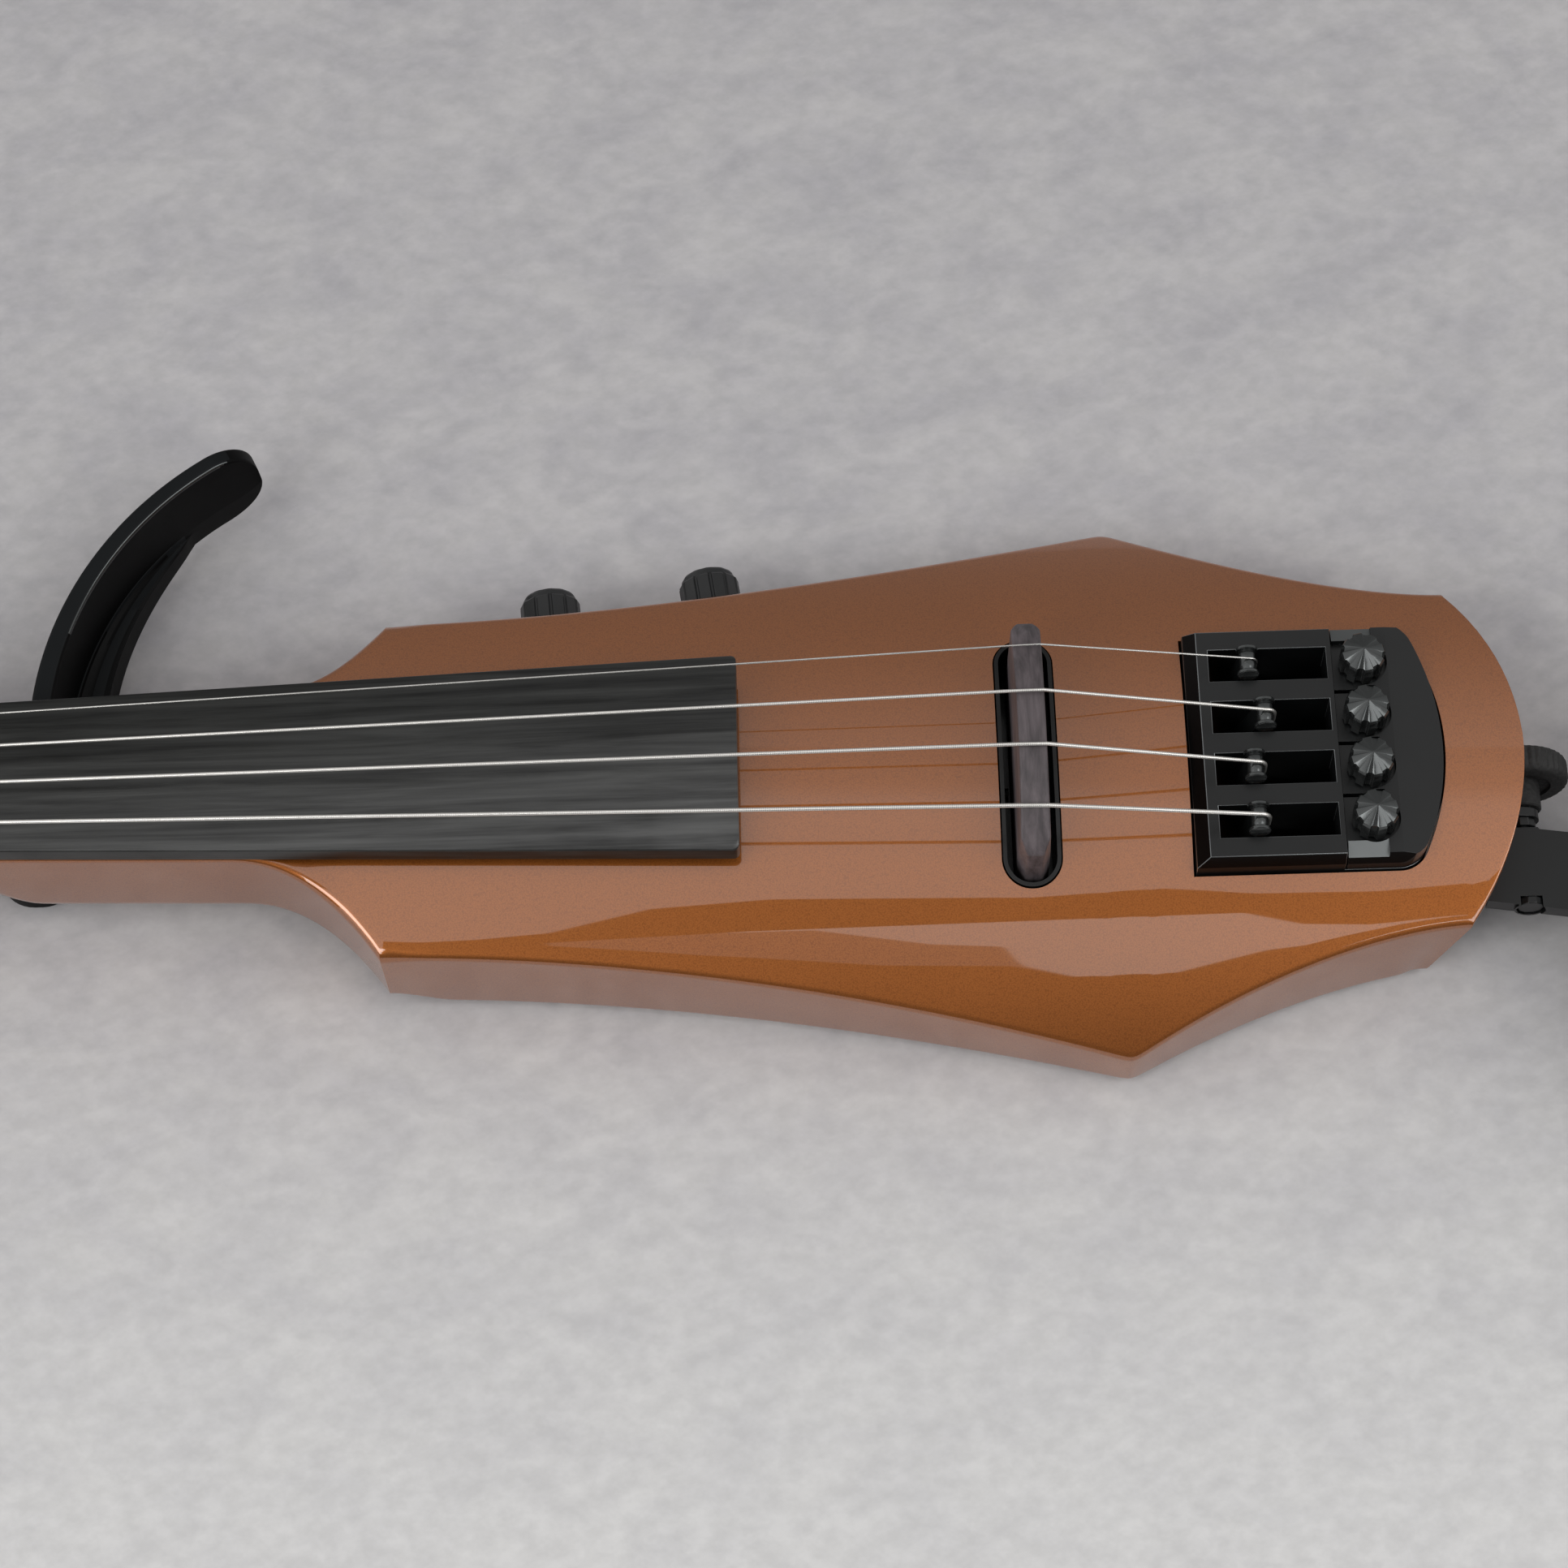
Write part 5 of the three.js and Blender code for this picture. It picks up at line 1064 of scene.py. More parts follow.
def board_ring(x):
    """Section of the fingerboard: crowned face, rounded edges, upright sides and a flat foot."""
    full = mix(BOARD_NUT_HALF, BOARD_END_HALF, (x - NUT_X) / (BOARD_END_X - NUT_X))
    over = max(x - (BOARD_END_X - BOARD_CORNER), 0)
    half = full - (BOARD_CORNER - math.sqrt(max(BOARD_CORNER**2 - over**2, 0)))
    foot = glue_z(x) + SEAT
    sink = BOARD_RADIUS - math.sqrt(BOARD_RADIUS**2 - full**2)

    def crown(y):
        return foot + BOARD_SIDE + sink - (BOARD_RADIUS - math.sqrt(BOARD_RADIUS**2 - y * y))

    inner = half - BOARD_EDGE
    face = [mix(inner, -inner, i / 40) for i in range(41)]
    turns = [a * math.pi / 8 for a in range(1, 5)]
    side = [(half - BOARD_EDGE * (1 - math.sin(a)), crown(inner) - BOARD_EDGE * (1 - math.cos(a)))
            for a in turns]
    outline = [(y, crown(y)) for y in face] + [(-y, z) for y, z in side]
    outline += [(-half, foot), (half, foot), *reversed(side)]
    return [(x, y, z) for y, z in outline]


def string_y(name, spacing):
    return PLACES[name] * spacing


def bridge_string_z(y):
    return BRIDGE_STRING_Z - (CROWN_RADIUS - math.sqrt(CROWN_RADIUS**2 - y * y))


def nut_string_z(y):
    return NUT_STRING_Z - (BOARD_RADIUS - math.sqrt(BOARD_RADIUS**2 - y * y))


def post_place(name):
    """Middle of a string post; the lever of the a string is tilted."""
    tilt = TILT_A if name == "a" else 0.0
    x = AXLE_X + POST_RISE * math.sin(tilt)
    z = AXLE_Z + POST_RISE * math.cos(tilt)
    return x, string_y(name, POST_SPACING), z


def square_to_edge(piece, x):
    """Turns a side control about its place on the edge, so that it stands square to the edge."""
    rise = side_half(x + CONTROL_RADIUS) - side_half(x - CONTROL_RADIUS)
    turn = Matrix.Rotation(math.atan2(rise, 2 * CONTROL_RADIUS), 4, "Z")
    place = at(x, side_half(x), 0)
    piece.data.transform(Matrix.Translation(place) @ turn @ Matrix.Translation(-place))
    return piece


# Operators
class VIOLIN_OT_body(bpy.types.Operator):
    """Lacquered body with its neck and head"""
    bl_idname = "violin.body"
    bl_label = "Body"

    def execute(self, context):
        rim = context.scene.violin_body.rim / MM
        shell = loft("violin_body", [body_ring(x, rim) for x in body_stations()])
        above = TOP_RISE + OVERRUN
        below = BACK_Z - OVERRUN
        behind = TAIL_END_X + OVERRUN
        wheel_room = WHEEL_RADIUS + WHEEL_ROOM
        jack_floor = side_half(JACK_X) - JACK_SEAT
        cuts = [
            prism("well_cut", well_outline(SEAT), "Z", WELL_FLOOR_Z - LINER_WALL - SEAT, above),
            prism("block_cut", block_outline(POCKET_GAP), "Z", BLOCK_FLOOR_Z - SEAT, above),
            prism("cavity_cut", cavity_outline(0), "Z", below, CAVITY_ROOF_Z),
            prism("recess_cut", cavity_outline(COVER_LIP + SEAT), "Z", below, BACK_Z + COVER_RECESS),
            box("wheel_cut", (HINGE_X - wheel_room, EAR_TREBLE_Y - SEAT, HINGE_Z - wheel_room),
                (behind, WHEEL_TREBLE_Y + WHEEL_ROOM, HINGE_Z + wheel_room)),
            box("bracket_cut", (BRACKET_LOW[0], BRACKET_LOW[1] - SEAT, BRACKET_LOW[2] - SEAT),
                (behind, BRACKET_TREBLE_Y + SEAT, BRACKET_TOP_Z + SEAT)),
            rod("jack_cut", "Y", JACK_X, JACK_Z, JACK_RADIUS + SEAT, JACK_ROOM_Y, WING_HALF),
            rod("jack_seat_cut", "Y", JACK_X, JACK_Z, JACK_SEAT_RADIUS, jack_floor, WING_HALF, 64),
        ]
        for i, x in enumerate(POT_XS):
            cut = rod(f"pot_cut_{i}", "Y", x, CONTROL_Z, POT_BUSH_RADIUS + SEAT, POT_ROOM_Y, WING_HALF)
            cuts.append(square_to_edge(cut, x))
        cuts.append(box("rod_cut", (ROD_FRONT_X - SEAT, -ROD_HALF - SEAT, ROD_ROOM_FLOOR_Z),
                        (ROD_REAR_X + SEAT, ROD_HALF + SEAT, GLUE_END_Z + OVERRUN)))
        carve(shell, *cuts)
        smooth(shell, 26)
        fit(shell, "frame", material("copper_lacquer"), "copper", "body")
        return {"FINISHED"}


class VIOLIN_OT_fingerboard(bpy.types.Operator):
    """Fingerboard with its crowned playing face, the nut and the rod under it"""
    bl_idname = "violin.fingerboard"
    bl_label = "Fingerboard and nut"

    def execute(self, context):
        corner_x = BOARD_END_X - BOARD_CORNER
        stations = [*spread(NUT_X + SEAT, corner_x, 16), corner_x]
        stations += [BOARD_END_X - BOARD_CORNER * (1 - math.sin(a * math.pi / 16)) for a in range(1, 9)]
        board = loft("fingerboard_dressed", [board_ring(x) for x in stations])
        smooth(board, 30)
        fit(board, "frame", material("ebony"), "ebony", "fingerboard")
        polished("nut", "frame", material("ebony"), "ebony", 0.25)
        polished("neck_rod", "frame", material("carbon"), "carbon", 0.2)
        return {"FINISHED"}


class VIOLIN_OT_bridge(bpy.types.Operator):
    """Stained bridge in its lined well, with the pickup bar and its lead"""
    bl_idname = "violin.bridge"
    bl_label = "Bridge and well"

    def execute(self, context):
        polished("bridge", "frame", material("bridge_wood"), "bridge_wood", 0.35, 20)
        outer = prism("well_liner_dressed", well_outline(0), "Z", WELL_FLOOR_Z - LINER_WALL, TOP_RISE + 3)
        inner = prism("liner_bore", well_outline(-LINER_WALL), "Z", WELL_FLOOR_Z, TOP_RISE + 6)
        half, roof, front, rear = 40, 30, -12, 6
        places = [mix(-half, half, i / 60) for i in range(61)]
        crown = [(y, top_z(y) + LINER_LIP) for y in places]
        sky = prism("liner_sky", [*crown, (half, roof), (-half, roof)], "X", front, rear)
        lead = rod("liner_lead", "X", 0, LEAD_WAY_Z, LEAD_WAY_RADIUS, front, WELL_X)
        carve(outer, inner, sky, lead)
        smooth(outer, 30)
        bevel(outer, 0.15)
        fit(outer, "frame", material("well_black"), "black_plastic", "bridge_well_liner")
        polished("bridge_pickup", "frame", material("black_plastic"), "black_plastic", 0.3)
        polished("pickup_lead", "frame", material("black_plastic"), "black_plastic", 0)
        return {"FINISHED"}


def deck_bevel_cuts(name):
    """Cutters for the slopes along the front and the two sides of the deck."""
    front, rear = BLOCK_FRONT_X - CLEAR_DECK, BLOCK_REAR_X + CLEAR_DECK
    wide = BLOCK_HALF + CLEAR_DECK
    low, high = DECK_Z - DECK_BEVEL_DROP, DECK_Z + CLEAR_DECK
    slope_x = BLOCK_FRONT_X + DECK_BEVEL
    slope_y = BLOCK_HALF - SIDE_BEVEL
    outline = [(front, low), (BLOCK_FRONT_X, low), (slope_x, DECK_Z), (slope_x, high), (front, high)]
    cuts = [prism(name + "_front", outline, "Y", -wide, wide)]
    for side in (-1, 1):
        outline = [(wide, low), (BLOCK_HALF, low), (slope_y, DECK_Z), (slope_y, high), (wide, high)]
        cuts.append(prism(f"{name}_side_{side}", [(side * y, z) for y, z in outline], "X", front, rear))
    return cuts


def dress_deck(piece):
    """Painted shade and highlights on the deck: a near-black copy of its metal on the slopes round the
    deck, and brighter copies as painted highlights on the broken edges and on the wedges beside the outer
    knobs.
    """
    for finish in ("painted_shade_black", "painted_edge_highlight", "painted_wedge_highlight"):
        piece.data.materials.append(material(finish))
    for face in piece.data.polygons:
        # Wedge faces beside the outer knobs: painted highlight in the pale copy.
        if 0.3 < abs(face.normal.y) < 0.45 and face.normal.z > 0.85:
            face.material_index = 3
        # Slopes round the deck: painted shade in the near-black copy.
        elif 0.2 < face.normal.z < 0.7:
            face.material_index = 1


def screw_way(name, y):
    return rod(name, "Z", KNOB_X, y, SCREW_WAY_RADIUS, CLEAR_FOOT_Z, CLEAR_TOP_Z, 24)


def slotted_front():
    """Tuner block with a bay and a slot for each lever."""
    block = prism("tuner_block_dressed", block_outline(0), "Z", BLOCK_FLOOR_Z, DECK_Z)
    step_low = (SEAM_X, -CLEAR_HALF, COVER_SEAT_Z)
    cuts = [box("rear_step", step_low, (CLEAR_REAR_X, CLEAR_HALF, CLEAR_TOP_Z)), *deck_bevel_cuts("deck")]
    for name in STRINGS:
        y = string_y(name, POST_SPACING)
        low = (SLOT_FRONT_X, y - SLOT_WIDTH / 2, CLEAR_FOOT_Z)
        treble = y + SLOT_WIDTH / 2
        cuts.append(box("bay_" + name, low, (BAY_REAR_X, treble, BAY_ROOF_Z)))
        cuts.append(box("slot_" + name, low, (SLOT_REAR_X, treble, CLEAR_TOP_Z)))
        cuts.append(screw_way("screw_way_" + name, y))
    cuts.append(rod("axle_way", "Y", AXLE_X, AXLE_Z, SCREW_WAY_RADIUS, -CLEAR_HALF, CLEAR_HALF, 24))
    return carve(block, *cuts)


def channelled_cover():
    """Rear cover of the tuner, with the channel of the knobs and the wedges beside them."""
    cover = prism("rear_cover_dressed", block_outline(0), "Z", COVER_SEAT_Z + SEAT, DECK_Z)
    half = POST_SPACING * 1.5 + KNOB_RADIUS + CHANNEL_GAP
    front, rear, above = 50, 85, 14
    fall = [(CHANNEL_REAR_X, DECK_Z), (BLOCK_REAR_X, COVER_TAIL_Z), (rear, COVER_TAIL_Z), (rear, above),
            (CHANNEL_REAR_X, above)]
    cuts = [
        box("cover_front", (CLEAR_FRONT_X, -CLEAR_HALF, 0), (SEAM_X + SEAT, CLEAR_HALF, CLEAR_TOP_Z)),
        prism("cover_fall", fall, "Y", -CLEAR_HALF, CLEAR_HALF),
        box("channel", (front, -half, CHANNEL_FLOOR_Z), (KNOB_X + CHANNEL_GAP, half, CLEAR_TOP_Z)),
        *deck_bevel_cuts("cover"),
    ]
    for side in (-1, 1):
        inner = side * half * 0.98
        outer = side * (BLOCK_HALF + SEAT)
        wedge = [(inner, DECK_Z), (outer, DECK_Z - WEDGE_DROP), (outer, above), (inner, above)]
        cuts.append(prism(f"wedge_{side}", wedge, "X", front, SLIT_END_X))
    for place in (-1, 0, 1):
        y = place * POST_SPACING
        low = (front, y - SLIT_WIDTH / 2, COVER_SEAT_Z + SLIT_FLOOR_RISE)
        cuts.append(box(f"slit_{place}", low, (SLIT_END_X, y + SLIT_WIDTH / 2, CLEAR_TOP_Z)))
    for name in STRINGS:
        y = string_y(name, POST_SPACING)
        room = KNOB_RADIUS + KNOB_ROOM
        cuts.append(rod("knob_room_" + name, "Z", KNOB_X, y, room, CHANNEL_FLOOR_Z, CLEAR_TOP_Z, 48))
        cuts.append(screw_way("cover_way_" + name, y))
    return carve(cover, *cuts)


class VIOLIN_OT_tuner_block(bpy.types.Operator):
    """Slotted tuner block, its rear cover and the lever axle"""
    bl_idname = "violin.tuner_block"
    bl_label = "Tuner block"

    def execute(self, context):
        edge = context.scene.violin_fittings.bevel / MM
        for make, share, node in (
                (slotted_front, 0.8, "tuner_block"), (channelled_cover, 0.7, "tuner_rear_cover")):
            piece = make()
            smooth(piece, 30)
            # Slot 2 of the bevel is the brighter edge metal: a painted highlight on every broken edge.
            bevel(piece, edge * share, 30, 3, 2)
            fit(piece, "frame", material("satin_black"), "satin_black", node)
            dress_deck(piece)
        polished("lever_axle", "frame", material("bright_steel"), "steel", 0.2)
        return {"FINISHED"}


# Half of a string post from its end to its middle: radius and distance from the middle
POST_PROFILE = ((0, 3.05), (1.85, 3.05), (2.15, 2.8), (2.15, 2.35), (1.5, 2.1), (1.5, 1.7), (1.62, 1.5),
                (1.56, 0.6), (1.53, 0))


class VIOLIN_OT_tuner_levers(bpy.types.Operator):
    """Four bell-crank levers with grooved string posts, and the travelling nuts"""
    bl_idname = "violin.tuner_levers"
    bl_label = "Tuner levers"

    def execute(self, context):
        for name in STRINGS:
            x, y, z = post_place(name)
            polished("tuner_lever_" + name, "lever_" + name, material("satin_black"), "satin_black", 0.2)
            profile = [(radius, y + place) for radius, place in mirrored(POST_PROFILE)]
            post = turned("string_post_" + name, profile, "Y", (x, y, z), 40)
            smooth(post, 40)
            fit(post, "lever_" + name, material("gloss_black"), "satin_black")
            polished("tuner_traveller_" + name, "traveller_" + name, material("brass"), "brass", 0.2)
        return {"FINISHED"}


# One flute and one rib of a tuner knob: share of the turn and share of the depth
KNOB_FLUTE = ((0.0, 0.08), (0.02, 0), (0.5, 0), (0.52, 0.08), (0.58, 0.6), (0.64, 0.72), (0.76, 0.75),
              (0.88, 0.72), (0.94, 0.6))
# Sections of a tuner knob from its foot: radius, depth of the flutes and height over foot or shoulder
KNOB_SIDES = ((KNOB_RADIUS - 0.3, 1, 0), (KNOB_RADIUS, 1, 0.3), (KNOB_RADIUS, 1, KNOB_SIDE - 0.2))
KNOB_TOP = ((KNOB_RADIUS - 0.12, 0.95, 0.05), (KNOB_RADIUS * 0.93, 0.5, 0.35),
            (KNOB_RADIUS * 0.6, 0.16, 1.05), (0.25, 0.02, 2.1))


class VIOLIN_OT_tuner_knobs(bpy.types.Operator):
    """Four fluted tuner knobs with petalled tops, and their screws"""
    bl_idname = "violin.tuner_knobs"
    bl_label = "Tuner knobs"

    def execute(self, context):
        foot = CHANNEL_FLOOR_Z + KNOB_RISE
        sections = [(radius, depth, foot + rise) for radius, depth, rise in KNOB_SIDES]
        sections += [(radius, depth, foot + KNOB_SIDE + rise) for radius, depth, rise in KNOB_TOP]
        for name in STRINGS:
            y = string_y(name, POST_SPACING)
            knob = loft("tuner_knob_dressed_" + name, [
                fluted(KNOB_FLUTES, KNOB_FLUTE, radius, depth, "Z", (KNOB_X, y, z))
                for radius, depth, z in sections])
            carve(knob, rod("knob_bore_" + name, "Z", KNOB_X, y, KNOB_BORE_RADIUS,
                            foot - 3, foot + KNOB_BORE_DEPTH, 24))
            smooth(knob, 24)
            fit(knob, "tuner_" + name, material("gloss_black"), "satin_black", "tuner_knob_" + name)
            polished("tuner_screw_" + name, "tuner_" + name, material("bright_steel"), "steel", 0.15)
        return {"FINISHED"}


def tube(name, centres, radius, sides=14):
    """A round wire through a row of points, kept square to its own run."""
    points = [Vector(c) for c in centres]
    rings = []
    normal = Vector((0, 1, 0))
    for i, point in enumerate(points):
        before = points[max(i - 1, 0)]
        after = points[min(i + 1, len(points) - 1)]
        run = (after - before).normalized()
        normal = (normal - run * normal.dot(run)).normalized()
        other = run.cross(normal)
        turns = [2 * math.pi * k / sides for k in range(sides)]
        rings.append([tuple(point + (normal * math.cos(a) + other * math.sin(a)) * radius) for a in turns])
    return loft(name, rings)


# Half of a string's ball end from its face to its middle: radius and distance from the middle
BALL_PROFILE = ((0, 1.5), (1.4, 1.5), (1.7, 1.2), (1.7, 0.5), (1.3, 0.3))


class VIOLIN_OT_strings(bpy.types.Operator):
    """Four strings from the head plate over nut and bridge to the posts"""
    bl_idname = "violin.strings"
    bl_label = "Strings"

    def execute(self, context):
        gauge = context.scene.violin_fittings.string_radius_share
        anchor_x = NUT_X - HEAD_LENGTH * 0.46
        anchor_z = GLUE_NUT_Z - HEAD_DROP * 0.2 + 2.0
        ball_x = anchor_x - 2
        for name in STRINGS:
            radius = STRING_RADIUS[name]
            head_y = string_y(name, NUT_SPACING)
            bridge_y = string_y(name, BRIDGE_SPACING)
            nut_z = nut_string_z(head_y)
            bridge_z = bridge_string_z(bridge_y)
            post_x, post_y, post_z = post_place(name)
            wrap = POST_RADIUS + radius + 0.15
            bridge_front_y = mix(bridge_y, head_y, BRIDGE_TOP_THICK / -NUT_X)
            centres = [
                (ball_x, head_y, anchor_z), (anchor_x + 1.8, head_y, anchor_z),
                (NUT_X - NUT_LENGTH - SEAT, head_y, nut_z), (NUT_X, head_y, nut_z),
                (-BRIDGE_TOP_THICK, bridge_front_y, bridge_z), (0, bridge_y, bridge_z),
            ]
            for i in range(13):
                turn = mix(0.5, 0, i / 12) * math.pi
                centres.append((post_x + wrap * math.cos(turn), post_y, post_z + wrap * math.sin(turn)))
            centres.append((post_x + wrap, post_y, post_z - 3))
            wire = tube("string_dressed_" + name, centres, radius * gauge)
            profile = [(r, head_y + place) for r, place in mirrored(BALL_PROFILE)]
            merge(wire, turned("string_ball_" + name, profile, "Y", (ball_x, head_y, anchor_z), 28))
            smooth(wire, 50)
            wire.data.materials.append(material("plain_string" if name == "e" else "wound_string"))
            at(post_x - 3, post_y, post_z + wrap)
            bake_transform(wire)
            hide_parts("string_" + name)
        polished("string_head_plate", "frame", material("satin_black"), "satin_black", 0.25)
        return {"FINISHED"}


# One hollow and one rib of a side control: share of the turn and share of the depth
CONTROL_FLUTE = ((0.0, 0.08), (0.03, 0), (0.72, 0), (0.75, 0.08), (0.8, 0.36), (0.84, 0.42), (0.91, 0.42),
                 (0.95, 0.36))
# Sections of a side control from its foot: radius, depth of the hollows and distance
CONTROL_SECTIONS = (
    (6.0, 1, 0), (CONTROL_RADIUS, 1, 0.25), (6.15, 1, 5.9), (5.8, 0.6, 6.3), (5.5, 0, 6.4), (5.45, 0, 7.3),
    (5.1, 0, 7.8), (3.9, 0, 7.9), (3.6, 0, 7.65), (0.3, 0, 7.6))


class VIOLIN_OT_controls(bpy.types.Operator):
    """Volume and tone knobs with their pots, and the output jack"""
    bl_idname = "violin.controls"
    bl_label = "Controls and jack"

    def execute(self, context):
        for x, name in zip(POT_XS, ("volume", "tone")):
            foot = side_half(x) + CONTROL_STAND_OFF
            knob = loft(name + "_knob_dressed", [
                fluted(CONTROL_RIBS, CONTROL_FLUTE, radius, depth, "Y", (x, foot + rise, CONTROL_Z))
                for radius, depth, rise in CONTROL_SECTIONS])
            carve(knob, rod(name + "_bore", "Y", x, CONTROL_Z, CONTROL_BORE_RADIUS,
                            foot - 3, foot + CONTROL_BORE_DEPTH, 32))
            square_to_edge(knob, x)
            smooth(knob, 22)
            fit(knob, name + "_control", material("black_plastic"), "black_plastic", name + "_knob")
            polished(name + "_shaft", name + "_control", material("bright_steel"), "steel", 0.2)
            polished(name + "_pot", "frame", material("bright_steel"), "steel", 0.2)
        polished("output_jack", "frame", material("bright_steel"), "steel", 0.2)
        polished("output_jack_nut", "frame", material("satin_black"), "satin_black", 0.3)
        return {"FINISHED"}


class VIOLIN_OT_electronics(bpy.types.Operator):
    """Circuit board in the cavity, and the cavity cover with its screws"""
    bl_idname = "violin.electronics"
    bl_label = "Electronics and cover"

    def execute(self, context):
        polished("circuit_board", "frame", material("laminate"), "circuit_board", 0.1)
        polished("cavity_cover", "frame", material("black_plastic"), "black_plastic", 0.3)
        for i in (1, 2):
            polished(f"cavity_cover_screw_{i}", "frame", material("bright_steel"), "steel", 0.25)
        return {"FINISHED"}


# The fillet over the arm's foot flange: share of the way out to its edge, and drop below the crease
ARM_FILLET = ((0, 0), (0.05, 0.05), (0.1, 0.7), (0.28, 1.35), (0.42, 1.5), (0.8, 1.6), (1, 2))


def arm_widths(degrees):
    """Depth inward of the arm's top, web and foot flange at an angle, and the share along the flange."""
    top = mix(ARM_TOP_THICK, ARM_TIP_THICK, (ARM_BASE_ANGLE - degrees) / (ARM_BASE_ANGLE - ARM_TIP_ANGLE))
    web = top + ARM_DRAFT
    past = max((degrees - ARM_FLANGE_ANGLE) / (ARM_BASE_ANGLE - ARM_FLANGE_ANGLE), 0)
    return top, web, web + ARM_FLANGE_WIDTH * past**0.6, past


def arm_ring(degrees, squash):
    """Section of the arm, drawn together towards its middle height by the squash."""
    top, web, flange, past = arm_widths(degrees)
    foot = mix(ARM_TIP_FOOT_Z, ARM_FOOT_Z, past)
    turns = [a * math.pi / 10 for a in range(6)]
    corner = [(ARM_EDGE * (1 - math.cos(a)), ARM_EDGE * (1 - math.sin(a))) for a in turns]
    profile = [(u, ARM_TOP_Z - v) for u, v in corner]
    profile += [(top - u, ARM_TOP_Z - v) for u, v in reversed(corner)]
    profile += [(mix(web, flange, share), ARM_CREASE_Z - drop) for share, drop in ARM_FILLET]
    profile += [(flange - u, foot + v) for u, v in corner]
    profile += [(u, foot + v) for u, v in reversed(corner)]
    middle = (ARM_TOP_Z + ARM_TIP_FOOT_Z) / 2
    angle = math.radians(degrees)
    return [(ARM_CENTRE[0] + (ARM_RADIUS - inward) * math.cos(angle),
             ARM_CENTRE[1] + (ARM_RADIUS - inward) * math.sin(angle),
             mix(middle, z, squash)) for inward, z in profile]


def dress_arm(blade):
    """Painted light and shade on the arm: a lighter satin copy of its black on the top and on bands of the
    flange and crease, and a painted highlight in gloss black along the inner edge where the arm is narrow.
    """
    for finish in ("painted_light_satin", "gloss_black"):
        blade.data.materials.append(material(finish))
    for face in blade.data.polygons:
        spot = (face.center - SHIFT) / MM
        reach = (spot.x - ARM_CENTRE[0], spot.y - ARM_CENTRE[1])
        degrees = math.degrees(math.atan2(reach[1], reach[0])) % 360
        inward = ARM_RADIUS - math.hypot(*reach)
        top, web, flange, past = arm_widths(degrees)
        edge = inward > top - ARM_EDGE and spot.z > ARM_TOP_Z - ARM_EDGE
        fillet = past > 0 and ARM_CREASE_Z - 2.5 < spot.z < ARM_CREASE_Z + 0.1
        # Top faces: painted light in the lighter satin copy.
        if face.normal.z > 0.85 and spot.z > ARM_TOP_Z / 2:
            face.material_index = 1
        # Inner top edge towards the tip: painted highlight in gloss black.
        elif edge and degrees < ARM_PAINTED_SHINE_ANGLE:
            face.material_index = 2
        # Bands of the flange fillet: painted light in the lighter satin copy.
        elif fillet and (inward < web + 0.35 or 0.42 < (inward - web) / (flange - web) < 0.8):
            face.material_index = 1


class VIOLIN_OT_position_arm(bpy.types.Operator):
    """Curved position arm under the heel"""
    bl_idname = "violin.position_arm"
    bl_label = "Position arm"

    def execute(self, context):
        rings = [arm_ring(degrees, 1) for degrees in spread(ARM_BASE_ANGLE, ARM_ROUND_ANGLE, 44)]
        for turn in spread(0, math.pi / 2, 16):
            degrees = mix(ARM_ROUND_ANGLE, ARM_LAST_ANGLE, math.sin(turn))
            rings.append(arm_ring(degrees, math.cos(turn) ** 0.9))
        blade = loft("position_arm_dressed", rings)
        seat_z = HEEL_BACK_Z - SEAT
        pad = rounded(ARM_PAD_X - ARM_PAD_HALF, ARM_PAD_BASS_Y, ARM_PAD_X + ARM_PAD_HALF, ARM_PAD_TREBLE_Y,
                      ARM_PAD_CORNER, 10)
        unite(blade, prism("arm_pad", pad, "Z", ARM_FOOT_Z, seat_z))
        neck_room = box("neck_room", (HEEL_X - HEEL_RUN, -ARM_RADIUS, seat_z),
                        (SCOOP_X, neck_half(HEEL_X) + SEAT * 2, ARM_TOP_Z + 3))
        holes = [rod(f"arm_hole_{i}", "Z", ARM_PAD_X, y, ARM_SCREW_HOLE, -27, -17, 24)
                 for i, y in enumerate(ARM_SCREW_YS)]
        carve(blade, neck_room, *holes)
        smooth(blade, 24)
        bevel(blade, 0.2, 50)
        # The arm's satin black is given as a near-black, barely reflecting copy: painted shade on its
        # sides.
        fit(blade, "frame", material("painted_shade_black"), "satin_black", "position_arm")
        dress_arm(blade)
        for i in (1, 2):
            polished(f"position_arm_screw_{i}", "frame", material("bright_steel"), "steel", 0.25)
        return {"FINISHED"}


# Sections of the thumb wheel from a face to its middle: inset, depth of the teeth and distance inward
WHEEL_SECTIONS = ((1.5, 0, 0), (0.9, 0.4, 0.15), (0.35, 1, 0.5), (0, 1, 1.2))


